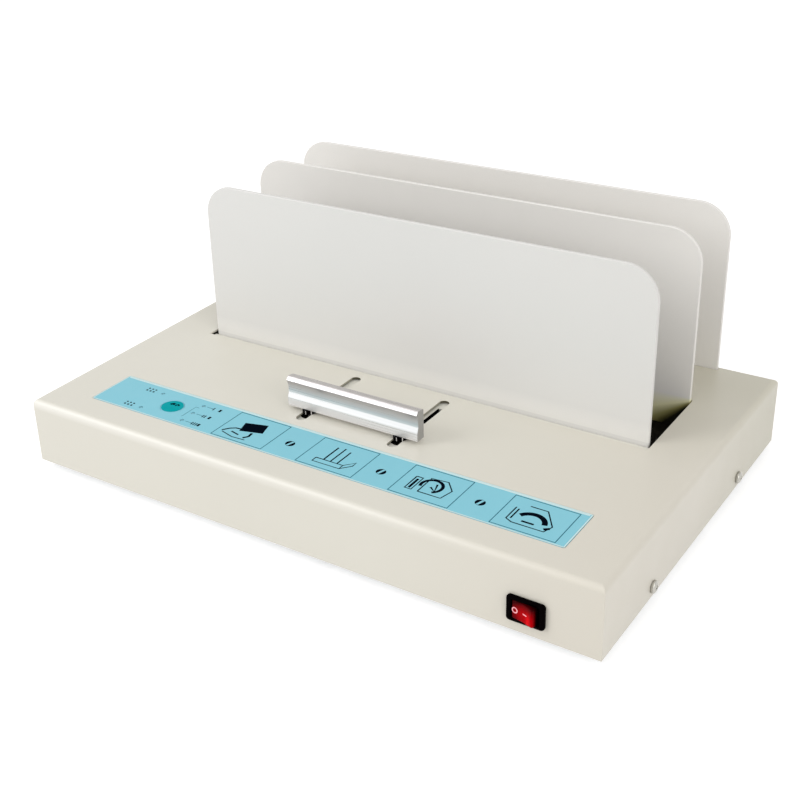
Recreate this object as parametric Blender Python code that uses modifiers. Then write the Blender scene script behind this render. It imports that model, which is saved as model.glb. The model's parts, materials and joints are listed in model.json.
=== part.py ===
"""Desktop hot-melt binding machine: a folded steel case with a heated well,
a sliding clamp plate pulled by an aluminium bar, a fixed middle plate and a
cooling rack behind it.

Lengths are in metres. Every piece hangs from one empty that stands at the
foot of the case's front face, so a place is (across from the middle,
back from the front face, up from the desk).
"""

import math

import bpy
import bmesh
from mathutils import Matrix, Vector

# Case
case_width = 0.380
case_depth = 0.250
case_height = 0.0425
case_sheet = 0.0012
case_bend = 0.003
case_bend_steps = 4
foot_height = 0.006

# Clearances
touch_gap = 0.0003
slide_gap = 0.0008
overrun = 0.002

# Plates that hold the book
plate_margin = 0.0345
plate_width = case_width - plate_margin * 2
plate_rise = 0.1055
plate_sheet = 0.0025
plate_corner = 0.020
plate_trim = 0.0014
front_plate_drop = 0.0016
plate_edge = 0.0003
front_plate_share = 0.548
middle_plate_share = 0.780
front_plate_y = case_depth * front_plate_share
middle_plate_y = case_depth * middle_plate_share
back_plate_setback = 0.0062
back_plate_y = case_depth - back_plate_setback

# Well in the case's top
well_side_gap = 0.0007
well_lead = 0.0062
well_front = front_plate_y - well_lead
well_relief = 0.0006

# Clamp travel, from the photographed place
clamp_forward = 0.0055
thinnest_book = 0.0075
clamp_rearward = middle_plate_y - front_plate_y - plate_sheet - thinnest_book

# Slots for the studs
slot_spread = 0.0317
slot_width = 0.0055
slot_front_room = 0.0037
slot_back_room = 0.0014

# Handle bar and its studs
bar_length = 0.090
bar_depth = 0.0075
bar_height = 0.0190
bar_lift = 0.0024
bar_share = 0.2786
bar_front = case_depth * bar_share
bar_band = 0.0054
bar_band_inset = 0.0006
bar_ledge = 0.0032
bar_groove_depth = 0.0028
bar_groove_flat = 0.0020
bar_lip = 0.0029
bar_lip_lean = 0.0013
bar_nose = 0.0003
bar_crest = 0.0006
bar_back_drop = 0.0008
bar_back_round = 0.0014
stud_radius = 0.0022
stud_nut_radius = 0.0042
stud_nut = 0.0025

# Sliding plate under the case's top
slide_sheet = 0.0015
slide_strip_lead = 0.0190
slide_strip_inset = 0.0012
slide_neck_left = 0.0375
slide_neck_right = 0.0302
slide_neck_lag = 0.0126
slide_head = 0.0390
slide_head_lead = 0.0134
slide_corner = 0.003
slide_flange = 0.0100
slide_fold = 0.0010

# Guide rods and bushes
rod_radius = 0.0030
rod_spread = 0.0200
rod_drop = 0.0085
rod_overhang = 0.0012
rod_end = 0.0004
bush_lead = 0.0154
bush_length = 0.0180
bush_side = 0.0140
bush_round = 0.0015
bracket_sheet = 0.0015
bracket_room = 0.0050
bracket_back_lead = 0.0105
bracket_side = 0.0300
bracket_foot = 0.0120
bracket_crown = 0.0050

# Heater under the well
heater_drop = 0.0165
heater_thick = 0.0050
heater_end_gap = 0.0055
heater_length = plate_width - heater_end_gap * 2
heater_round = 0.0008
heater_side_gap = 0.0012
tray_sheet = 0.0010
tray_front_gap = 0.0002
tray_end = 0.0020
tray_half_length = plate_width / 2 + tray_end
tray_lip = 0.0060
tray_floor_gap = 0.0003
strip_end_gap = 0.0100
strip_length = heater_length - strip_end_gap * 2
strip_thick = 0.0040
strip_edge_room = 0.0058
strip_middle_room = 0.0010
cutout_radius = 0.0080
cutout_height = 0.0080
cutout_neck = 0.0050
cutout_flange_share = 0.4
fuse_radius = 0.0020
fuse_length = 0.0130
fuse_x = 0.060
fuse_round_share = 0.4

# Base and feet
base_sheet = 0.0012
base_flange = 0.0135
base_end_gap = 0.0018
foot_radius = 0.0085
foot_taper = 0.0010
foot_recess_radius = 0.0036
foot_recess = 0.0030
foot_side_inset = 0.030
foot_end_inset = 0.028
foot_x = case_width / 2 - foot_side_inset
foot_front_y = foot_end_inset
foot_back_y = case_depth - foot_end_inset
vent_length = 0.026
vent_width = 0.003
vent_pitch = 0.012
vent_count = 7
vent_row_share = 0.6
vent_row_x = tray_half_length * vent_row_share

# Side screws, M4 with narrow pan heads
screw_radius = 0.0019
screw_head_radius = 0.0036
screw_head = 0.0022
screw_hole_gap = 0.0003
pan_crown_share = 0.55
side_screw_length = 0.0080
side_screw_rise = 0.0063
side_screw_front_inset = 0.0615
side_screw_back_inset = 0.0630
side_screw_ys = (side_screw_front_inset, case_depth - side_screw_back_inset)

# Small screws, M3
small_radius = 0.0014
small_head_radius = 0.0028
small_head = 0.0016
small_length = 0.0080

# Label film, key and lamps
label_end_gap = 0.0310
label_length = case_width - label_end_gap * 2
label_front = 0.0206
label_width = 0.0344
label_back = label_front + label_width
label_left = -label_length / 2
label_film = 0.0004
label_recess = 0.0005
label_proud = 0.0001
label_corner = 0.0012
key_inset = 0.0515
key_depth = 0.0159
key_x = label_left + key_inset
key_y = label_front + key_depth
key_radius = 0.0075
key_cap = 0.0010
key_proud = 0.0002
key_stem_radius = 0.0016
key_travel = 0.0006
key_edge = 0.0002
lamp_reach = 0.0163
lamp_row = 0.0101
lamp_places = (
    (key_x - lamp_reach, key_y + lamp_row),
    (key_x - lamp_reach, key_y - lamp_row),
    (key_x + lamp_reach, key_y + lamp_row),
    (key_x + lamp_reach, key_y),
    (key_x + lamp_reach, key_y - lamp_row),
)
lamp_radius = 0.0015
lamp_flange_radius = 0.0019
lamp_flange = 0.0010
lamp_tip_radius = 0.0010
lamp_gap = 0.0003
lamp_shoulder = 0.0002

# Control board
board_thick = 0.0016
board_drop = 0.0078
board_reach = 0.0300
board_front_reach = 0.0165
board_back_reach = 0.0175
board_left = key_x - board_reach
board_right = key_x + board_reach
board_front = key_y - board_front_reach
board_back = key_y + board_back_reach
spacer_radius = 0.0025
spacer_inset = 0.0045
spacer_places = (
    (board_left + spacer_inset, key_y),
    (board_right - spacer_inset, key_y),
)
tact_side = 0.0060
tact_height = 0.0035
tact_button_radius = 0.0017
tact_button = 0.0008
tact_round = 0.0006

# Power board at the back left
power_left = -0.108
power_length = 0.105
power_gap = 0.0050
power_depth = 0.0350
power_right = power_left + power_length
power_front = middle_plate_y + power_gap
power_back = power_front + power_depth
power_peg = 0.0045
power_peg_radius = 0.0030
power_peg_inset = 0.0060
relay_size = (0.019, 0.0155, 0.0150)
relay_inset = 0.0200
relay_x = power_right - relay_inset
coil_core = (0.032, 0.0260, 0.0220)
coil_core_leg = 0.0060
coil_bobbin = 0.0030
coil_overlap = 0.0005
coil_inset = 0.0240
coil_x = power_left + coil_inset

# Mains switch
switch_inset = 0.0401
switch_x = case_width / 2 - switch_inset
switch_rise = 0.0145
bezel_width = 0.0210
bezel_height = 0.0150
bezel_proud = 0.0020
bezel_corner = 0.0020
bezel_edge = 0.0006
switch_box_width = 0.0192
switch_box_height = 0.0129
switch_box_depth = 0.0140
switch_cavity_width = 0.0156
switch_cavity_height = 0.0112
switch_cavity_depth = 0.0062
rocker_half = 0.0067
rocker_height = 0.0106
rocker_valley = 0.0030
rocker_pitch_deg = 6.0
rocker_tilt_deg = 14.0
rocker_shoulder = 0.0010
rocker_belly = 0.0062
rocker_axis_proud = 0.0002
rocker_edge = 0.0004
rocker_side_deg = 18.0
terminal_width = 0.0048
terminal_thick = 0.0008
terminal_length = 0.0080
terminal_spread = 0.0045

# Mains inlet in the back wall
inlet_inset = 0.050
inlet_x = inlet_inset - case_width / 2
inlet_rise_share = 0.482
inlet_rise = case_height * inlet_rise_share
inlet_flange_width = 0.0500
inlet_flange_height = 0.0225
inlet_flange = 0.0025
inlet_flange_corner = 0.0040
inlet_body_width = 0.0275
inlet_body_height = 0.0195
inlet_body_depth = 0.0180
inlet_socket_width = 0.0245
inlet_socket_height = 0.0165
inlet_socket_depth = 0.0150
inlet_socket_chamfer = 0.0050
inlet_screw_spread = 0.0200
inlet_pin_width = 0.0020
inlet_pin_height = 0.0040
inlet_pin_spread = 0.0070
inlet_pin_offset = 0.0020
inlet_pin_length = 0.0120

# Screws in the two fixed plates
plate_screw_inset = 0.0355
plate_screw_x = plate_width / 2 - plate_screw_inset
back_screw_gap = 0.0120
back_screw_rise = 0.0038
front_screw_drop = 0.0062
middle_plate_bottom = 0.0100
back_plate_lap = 0.0012
front_plate_gap = 0.0020

# Fineness of round shapes
round_steps = 24
small_steps = 16
corner_steps = 6
pan_steps = 4
weld = 0.00001
straight_share = 0.99

# Turns that point a piece's +Z another way
towards_left = (0, -math.pi / 2, 0)
towards_right = (0, math.pi / 2, 0)
towards_front = (math.pi / 2, 0, 0)
towards_back = (-math.pi / 2, 0, 0)
downwards = (math.pi, 0, 0)

# Heights above the desk and places worked out from them
case_bottom = foot_height
case_top = case_bottom + case_height
case_under = case_top - case_sheet
well_half = plate_width / 2 + well_side_gap
well_back = middle_plate_y + plate_sheet + touch_gap * 2
plate_top = case_top + plate_rise
trimmed_half = plate_width / 2 - plate_trim
slide_top = case_under - slide_gap
slide_bottom = slide_top - slide_sheet
rod_height = slide_bottom - rod_drop
bracket_top = rod_height + bracket_crown
heater_top = case_top - heater_drop
back_plate_bottom = case_bottom + inlet_rise + inlet_body_height / 2 + back_plate_lap
back_screw_height = back_plate_bottom + back_screw_rise
back_screw_x = case_width / 2 - inlet_inset - inlet_flange_width / 2 - back_screw_gap
base_top = case_bottom + base_sheet
base_half = case_width / 2 - case_sheet - touch_gap
tray_bottom = base_top + tray_floor_gap
tray_back = middle_plate_y - touch_gap
heater_bottom = heater_top - heater_thick
tray_top = heater_bottom - touch_gap
board_top = case_under - board_drop
bar_bottom = case_top + bar_lift
bar_y = bar_front + bar_depth / 2
slide_strip_front = front_plate_y - slide_strip_lead
slide_neck_front = bar_y + slide_neck_lag
slide_head_front = bar_y - slide_head_lead
bush_front = bar_y - bush_lead
bracket_front_y = bush_front - clamp_forward - bracket_room - bracket_sheet
bracket_back_y = front_plate_y - bracket_back_lead
tray_front = front_plate_y + tray_front_gap
middle_screw_height = (tray_bottom + tray_top) / 2
strip_near = cutout_radius + strip_middle_room
strip_far = (tray_back - tray_front) / 2 - tray_sheet - strip_edge_room
slot_front = bar_y - clamp_forward - stud_radius - slot_front_room
slot_back = bar_y + clamp_rearward + stud_radius + slot_back_room
rocker_end = rocker_valley + rocker_half * math.tan(math.radians(rocker_pitch_deg))
rocker_reach = rocker_axis_proud + math.hypot(rocker_half, rocker_end) * math.sin(
    math.radians(rocker_tilt_deg) + math.atan2(rocker_end, rocker_half)
)
back_reach = inlet_flange + touch_gap * 2 + small_head
middle_y = (case_depth + back_reach - rocker_reach) / 2


def clear_scene():
    for thing in list(bpy.data.objects):
        bpy.data.objects.remove(thing, do_unlink=True)


def new_collection(name):
    group = bpy.data.collections.new(name)
    bpy.context.scene.collection.children.link(group)
    return group


def finish(name, colour, roughness, metallic=0.0):
    material = bpy.data.materials.new(name)
    material.use_nodes = True
    shader = material.node_tree.nodes["Principled BSDF"]
    shader.inputs["Base Color"].default_value = (*colour, 1.0)
    shader.inputs["Roughness"].default_value = roughness
    shader.inputs["Metallic"].default_value = metallic
    material.diffuse_color = (*colour, 1.0)
    return material


def empty(name, place, parent=None):
    pivot = bpy.data.objects.new(name, None)
    parts.objects.link(pivot)
    pivot.parent = parent
    pivot.location = place
    return pivot


def piece(name, mesh, material, place=(0, 0, 0), parent=None, turn=None, group=None):
    """A solid at a place measured from the foot of the front face."""
    solid = bpy.data.objects.new(name, mesh)
    (group or parts).objects.link(solid)
    holder = parent or machine
    solid.parent = holder
    offset = Vector((0, 0, 0)) if holder is machine else holder.location
    solid.location = Vector(place) - offset
    if turn:
        solid.rotation_euler = turn
    if material:
        mesh.materials.append(material)
    return solid


def mesh_from(shape, name):
    bmesh.ops.recalc_face_normals(shape, faces=shape.faces)
    mesh = bpy.data.meshes.new(name)
    shape.to_mesh(mesh)
    shape.free()
    return mesh


def block(low, high):
    """A box between two corners."""
    shape = bmesh.new()
    bmesh.ops.create_cube(shape, size=1)
    low, high = Vector(low), Vector(high)
    bmesh.ops.scale(shape, vec=high - low, verts=shape.verts)
    bmesh.ops.translate(shape, vec=(high + low) / 2, verts=shape.verts)
    return shape


def bevel(shape, edges, radius, steps):
    bmesh.ops.bevel(
        shape,
        geom=edges,
        offset=radius,
        offset_type="OFFSET",
        segments=steps,
        profile=0.5,
        affect="EDGES",
        material=-1,
    )


def edges_along(shape, axis):
    """The edges of a box that run along one axis."""
    found = []
    for edge in shape.edges:
        run = edge.verts[0].co - edge.verts[1].co
        if abs(run[axis]) > run.length * straight_share:
            found.append(edge)
    return found


def rim_edges(shape):
    """The edges round the two ends of a cylinder."""
    return [e for e in shape.edges if any(len(f.verts) > 4 for f in e.link_faces)]


def rod(radius, length, steps, axis="Z"):
    """A cylinder centred on the origin along an axis."""
    shape = bmesh.new()
    bmesh.ops.create_cone(
        shape, cap_ends=True, segments=steps, radius1=radius, radius2=radius, depth=length
    )
    if axis == "X":
        bmesh.ops.rotate(shape, matrix=Matrix.Rotation(math.pi / 2, 3, "Y"), verts=shape.verts)
    if axis == "Y":
        bmesh.ops.rotate(shape, matrix=Matrix.Rotation(math.pi / 2, 3, "X"), verts=shape.verts)
    return shape


def arc(centre, radius, start, end, steps):
    """Points round part of a circle, with the angles in degrees."""
    points = []
    for i in range(steps + 1):
        angle = math.radians(start + (end - start) * i / steps)
        points.append((centre[0] + radius * math.cos(angle), centre[1] + radius * math.sin(angle)))
    return points


def rounded_rectangle(left, right, low, high, radius, steps=corner_steps):
    return (
        arc((right - radius, high - radius), radius, 0, 90, steps)
        + arc((left + radius, high - radius), radius, 90, 180, steps)
        + arc((left + radius, low + radius), radius, 180, 270, steps)
        + arc((right - radius, low + radius), radius, 270, 360, steps)
    )


def circle(centre, radius, steps=round_steps):
    return arc(centre, radius, 0, 360, steps)[:-1]


def extruded(name, outlines, thickness):
    """A flat outline with holes, given thickness both ways from its plane."""
    curve = bpy.data.curves.new(name, "CURVE")
    curve.dimensions = "2D"
    curve.fill_mode = "BOTH"
    curve.extrude = thickness / 2
    for outline in outlines:
        spline = curve.splines.new("POLY")
        spline.points.add(len(outline) - 1)
        for point, (across, up) in zip(spline.points, outline):
            point.co = (across, up, 0, 1)
        spline.use_cyclic_u = True
    holder = bpy.data.objects.new(name, curve)
    bpy.context.scene.collection.objects.link(holder)
    graph = bpy.context.evaluated_depsgraph_get()
    mesh = bpy.data.meshes.new_from_object(holder.evaluated_get(graph))
    bpy.data.objects.remove(holder, do_unlink=True)
    bpy.data.curves.remove(curve)
    shape = bmesh.new()
    shape.from_mesh(mesh)
    bpy.data.meshes.remove(mesh)
    bmesh.ops.remove_doubles(shape, verts=shape.verts, dist=weld)
    return shape


def slab(outline, thickness):
    """A flat outline without holes, given thickness both ways, with whole faces to bevel."""
    shape = bmesh.new()
    corners = [shape.verts.new((across, up, -thickness / 2)) for across, up in outline]
    grown = bmesh.ops.extrude_face_region(shape, geom=[shape.faces.new(corners)])
    upper = [v for v in grown["geom"] if isinstance(v, bmesh.types.BMVert)]
    bmesh.ops.translate(shape, vec=(0, 0, thickness), verts=upper)
    bmesh.ops.recalc_face_normals(shape, faces=shape.faces)
    return shape


def upright(shape):
    """Turns a shape drawn flat so that its up is Z and its thickness is Y."""
    bmesh.ops.rotate(shape, matrix=Matrix.Rotation(math.pi / 2, 3, "X"), verts=shape.verts)
    return shape


def moved(shape, step):
    bmesh.ops.translate(shape, vec=step, verts=shape.verts)
    return shape


def turned(name, profile, material, place, parent=None, turn=None, steps=round_steps):
    """A profile of (radius, height) points spun round Z, from its top down its outer side."""
    mesh = bpy.data.meshes.new(name)
    shape = bmesh.new()
    corners = [shape.verts.new((radius, 0, height)) for radius, height in profile]
    for first, second in zip(corners, corners[1:]):
        shape.edges.new((first, second))
    shape.to_mesh(mesh)
    shape.free()
    solid = piece(name, mesh, material, place, parent, turn)
    screw = solid.modifiers.new("spin", "SCREW")
    screw.axis = "Z"
    screw.angle = math.tau
    screw.steps = steps
    screw.render_steps = steps
    screw.use_merge_vertices = True
    screw.merge_threshold = weld
    screw.use_smooth_shade = True
    return solid


def modify(solid, other, operation):
    change = solid.modifiers.new(operation.lower(), "BOOLEAN")
    change.operation = operation
    change.object = other
    change.solver = "EXACT"


def cut(solid, shape):
    """Takes a shape, drawn at its own place, out of a solid."""
    name = f"{solid.name}_cut_{len(solid.modifiers)}"
    cutter = piece(name, mesh_from(shape, name), None, group=cutters)
    cutter.hide_render = True
    cutter.display_type = "WIRE"
    modify(solid, cutter, "DIFFERENCE")


def join(solid, shape):
    """Adds a shape, drawn at its own place, to a solid."""
    name = f"{solid.name}_join_{len(solid.modifiers)}"
    other = piece(name, mesh_from(shape, name), None, group=cutters)
    other.hide_render = True
    other.display_type = "WIRE"
    modify(solid, other, "UNION")


def smooth(solid, angle_deg=35):
    solid.data.shade_smooth()
    solid.data.set_sharp_from_angle(angle=math.radians(angle_deg))


def drill(x, y, z, radius, length, axis, steps=small_steps):
    return moved(rod(radius, length, steps, axis), (x, y, z))


clear_scene()
parts = new_collection("binding_machine")
cutters = new_collection("cutters")
machine = empty("machine", (0, -middle_y, 0))
clamp_slide = empty("clamp_slide", (0, bar_y, slide_top), machine)
key_press = empty("key_press", (key_x, key_y, case_top), machine)
rocker_pivot = empty(
    "rocker_pivot", (switch_x, -rocker_axis_proud, case_bottom + switch_rise), machine
)

case_paint = finish("case_paint", (0.745, 0.723, 0.655), 0.42)
plate_paint = finish("plate_paint", (0.760, 0.752, 0.730), 0.40)
bright_steel = finish("bright_steel", (0.62, 0.62, 0.61), 0.28, 1.0)
zinc_steel = finish("zinc_steel", (0.55, 0.56, 0.56), 0.45, 1.0)
bar_metal = finish("bar_metal", (0.74, 0.75, 0.77), 0.30, 1.0)
heater_metal = finish("heater_metal", (0.30, 0.30, 0.31), 0.50, 1.0)
brass = finish("brass", (0.72, 0.52, 0.22), 0.35, 1.0)
black_rubber = finish("black_rubber", (0.02, 0.02, 0.02), 0.80)
black_plastic = finish("black_plastic", (0.012, 0.012, 0.013), 0.35)
red_plastic = finish("red_plastic", (0.50, 0.004, 0.006), 0.25)
label_print = finish("label_print", (0.285, 0.610, 0.705), 0.35)
key_print = finish("key_print", (0.030, 0.470, 0.500), 0.40)
lamp_plastic = finish("lamp_plastic", (0.70, 0.78, 0.72), 0.25)
board_green = finish("board_green", (0.020, 0.160, 0.060), 0.45)
nylon = finish("nylon", (0.80, 0.79, 0.74), 0.45)
mica = finish("mica", (0.46, 0.40, 0.30), 0.60)
relay_blue = finish("relay_blue", (0.020, 0.080, 0.300), 0.40)


def make_top_cover():
    """The folded sheet case: a box shell open below, with every cut-out."""
    shape = block(
        (-case_width / 2, 0, case_bottom),
        (case_width / 2, case_depth, case_top),
    )
    bends = [e for e in shape.edges if all(v.co.z > case_under for v in e.verts)]
    bevel(shape, bends, case_bend, case_bend_steps)
    floor = [f for f in shape.faces if all(v.co.z < base_top for v in f.verts)]
    bmesh.ops.delete(shape, geom=floor, context="FACES_ONLY")
    cover = piece("top_cover", mesh_from(shape, "top_cover"), case_paint)
    smooth(cover)
    wall = cover.modifiers.new("sheet", "SOLIDIFY")
    wall.thickness = case_sheet
    wall.offset = -1
    wall.use_even_offset = True
    wall.use_rim = True
    through = case_sheet + overrun * 2
    top_middle = case_top - case_sheet / 2
    well = rounded_rectangle(-well_half, well_half, well_front, well_back, well_relief, 2)
    slots = []
    for side in (-1, 1):
        middle = side * slot_spread
        slots.append(
            rounded_rectangle(
                middle - slot_width / 2,
                middle + slot_width / 2,
                slot_front,
                slot_back,
                slot_width / 2 - weld,
            )
        )
    rack = rounded_rectangle(
        -trimmed_half - touch_gap,
        trimmed_half + touch_gap,
        back_plate_y - touch_gap,
        back_plate_y + plate_sheet + touch_gap,
        well_relief,
        2,
    )
    for outline in (well, *slots, rack):
        cut(cover, moved(slab(outline, through), (0, 0, top_middle)))
    film = rounded_rectangle(
        -label_length / 2 - touch_gap,
        label_length / 2 + touch_gap,
        label_front - touch_gap,
        label_back + touch_gap,
        label_corner,
        2,
    )
    recess = moved(
        slab(film, label_recess + overrun), (0, 0, case_top + (overrun - label_recess) / 2)
    )
    cut(cover, recess)
    cut(cover, drill(key_x, key_y, top_middle, key_radius + touch_gap, through, "Z", round_steps))
    for x, y in lamp_places:
        cut(cover, drill(x, y, top_middle, lamp_radius + lamp_gap, through, "Z"))
    switch_z = case_bottom + switch_rise
    cut(
        cover,
        block(
            (
                switch_x - switch_box_width / 2 - touch_gap,
                -overrun,
                switch_z - switch_box_height / 2 - touch_gap,
            ),
            (
                switch_x + switch_box_width / 2 + touch_gap,
                case_sheet + overrun,
                switch_z + switch_box_height / 2 + touch_gap,
            ),
        ),
    )
    inlet_z = case_bottom + inlet_rise
    cut(
        cover,
        block(
            (
                inlet_x - inlet_body_width / 2 - touch_gap,
                case_depth - case_sheet - overrun,
                inlet_z - inlet_body_height / 2 - touch_gap,
            ),
            (
                inlet_x + inlet_body_width / 2 + touch_gap,
                case_depth + overrun,
                inlet_z + inlet_body_height / 2 + touch_gap,
            ),
        ),
    )
    back_middle = case_depth - case_sheet / 2
    small_hole = small_radius + screw_hole_gap
    for side in (-1, 1):
        cut(
            cover,
            drill(
                inlet_x + side * inlet_screw_spread, back_middle, inlet_z, small_hole, through, "Y"
            ),
        )
        cut(
            cover,
            drill(side * back_screw_x, back_middle, back_screw_height, small_hole, through, "Y"),
        )
        for y in side_screw_ys:
            hole = drill(
                side * (case_width / 2 - case_sheet / 2),
                y,
                case_bottom + side_screw_rise,
                screw_radius + screw_hole_gap,
                through,
                "X",
            )
            cut(cover, hole)


def make_base_plate():
    """The bottom sheet, with a flange turned up at each side for the side screws."""
    inner = base_half - base_sheet
    low = case_bottom
    high = case_bottom + base_flange
    profile = [
        (-base_half, low),
        (base_half, low),
        (base_half, high),
        (inner, high),
        (inner, base_top),
        (-inner, base_top),
        (-inner, high),
        (-base_half, high),
    ]
    length = case_depth - (case_sheet + base_end_gap) * 2
    shape = moved(upright(slab(profile, length)), (0, case_depth / 2, 0))
    base = piece("base_plate", mesh_from(shape, "base_plate"), zinc_steel)
    through = base_sheet + overrun * 2
    for x in (-foot_x, foot_x):
        for y in (foot_front_y, foot_back_y):
            cut(base, drill(x, y, case_bottom, small_radius + screw_hole_gap, through, "Z"))
    middle = (tray_front + tray_back) / 2
    for row in (-vent_row_x, vent_row_x):
        for i in range(vent_count):
            x = row + (i - (vent_count - 1) / 2) * vent_pitch
            vent = rounded_rectangle(
                x - vent_width / 2,
                x + vent_width / 2,
                middle - vent_length / 2,
                middle + vent_length / 2,
                vent_width / 2 - weld,
                2,
            )
            cut(base, moved(slab(vent, through), (0, 0, case_bottom)))
    for side in (-1, 1):
        for y in side_screw_ys:
            hole = drill(
                side * (base_half - base_sheet / 2),
                y,
                case_bottom + side_screw_rise,
                screw_radius + screw_hole_gap,
                through,
                "X",
            )
            cut(base, hole)


def pan_profile(head_radius, head, radius, length):
    """A pan head above the origin and its shank below."""
    crown = head * pan_crown_share
    points = [(0, head)]
    for i in range(1, pan_steps + 1):
        angle = math.pi / 2 * i / pan_steps
        points.append((head_radius * math.sin(angle), head - crown + crown * math.cos(angle)))
    return points + [(head_radius, 0), (radius, 0), (radius, -length), (0, -length)]


def make_fasteners():
    side_profile = pan_profile(screw_head_radius, screw_head, screw_radius, side_screw_length)
    small_profile = pan_profile(small_head_radius, small_head, small_radius, small_length)
    z = case_bottom + side_screw_rise
    for word, side, turn in (("left", -1, towards_left), ("right", 1, towards_right)):
        for end, y in zip(("front", "rear"), side_screw_ys):
            turned(
                f"side_screw_{word}_{end}",
                side_profile,
                bright_steel,
                (side * (case_width / 2 + touch_gap), y, z),
                turn=turn,
                steps=small_steps,
            )
        turned(
            f"middle_plate_screw_{word}",
            small_profile,
            bright_steel,
            (
                side * plate_screw_x,
                middle_plate_y + plate_sheet + touch_gap,
                middle_screw_height,
            ),
            turn=towards_back,
            steps=small_steps,
        )
        turned(
            f"back_plate_screw_{word}",
            small_profile,
            bright_steel,
            (side * back_screw_x, case_depth + touch_gap, back_screw_height),
            turn=towards_back,
            steps=small_steps,
        )
        turned(
            f"inlet_screw_{word}",
            small_profile,
            bright_steel,
            (
                inlet_x + side * inlet_screw_spread,
                case_depth + inlet_flange + touch_gap * 2,
                case_bottom + inlet_rise,
            ),
            turn=towards_back,
            steps=small_steps,
        )


def make_feet():
    top = case_bottom - touch_gap
    foot = [
        (small_radius + screw_hole_gap, top),
        (foot_radius, top),
        (foot_radius - foot_taper, foot_taper),
        (foot_radius - foot_taper * 2, 0),
        (foot_recess_radius, 0),
        (foot_recess_radius, foot_recess),
        (small_radius + screw_hole_gap, foot_recess),
        (small_radius + screw_hole_gap, top),
    ]
    screw = pan_profile(small_head_radius, small_head, small_radius, small_length)
    for end, y in (("front", foot_front_y), ("rear", foot_back_y)):
        for word, x in (("left", -foot_x), ("right", foot_x)):
            turned(f"foot_{end}_{word}", foot, black_rubber, (x, y, 0), steps=round_steps)
            turned(
                f"foot_screw_{end}_{word}",
                screw,
                bright_steel,
                (x, y, foot_recess - touch_gap),
                turn=downwards,
                steps=small_steps,
            )


def plate_outline(half, bottom, top):
    """A plate with two round top corners, drawn across and up."""
    return (
        [(-half, bottom), (half, bottom)]
        + arc((half - plate_corner, top - plate_corner), plate_corner, 0, 90, corner_steps)
        + arc((-half + plate_corner, top - plate_corner), plate_corner, 90, 180, corner_steps)
    )


def make_plate(name, outline, front, screw_place, parent=None):
    hole = small_radius + screw_hole_gap
    across, up = screw_place
    holes = [circle((side * across, up), hole, small_steps) for side in (-1, 1)]
    shape = upright(extruded(name, [outline, *holes], plate_sheet))
    moved(shape, (0, front + plate_sheet / 2, 0))
    plate = piece(name, mesh_from(shape, name), plate_paint, parent=parent)
    edge = plate.modifiers.new("edge", "BEVEL")
    edge.width = plate_edge
    edge.segments = 1
    edge.limit_method = "ANGLE"
    edge.angle_limit = math.radians(60)
    return plate


def make_plates():
    """The clamp's plate, the fixed plate behind it and the cooling rack's plate."""
    make_plate(
        "front_plate",
        plate_outline(trimmed_half, heater_top + front_plate_gap, plate_top - front_plate_drop),
        front_plate_y,
        (plate_screw_x, slide_bottom - front_screw_drop),
        clamp_slide,
    )
    make_plate(
        "middle_plate",
        plate_outline(plate_width / 2, middle_plate_bottom, plate_top),
        middle_plate_y,
        (plate_screw_x, middle_screw_height),
    )
    make_plate(
        "back_plate",
        plate_outline(trimmed_half, back_plate_bottom, plate_top),
        back_plate_y,
        (back_screw_x, back_screw_height),
    )


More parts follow.
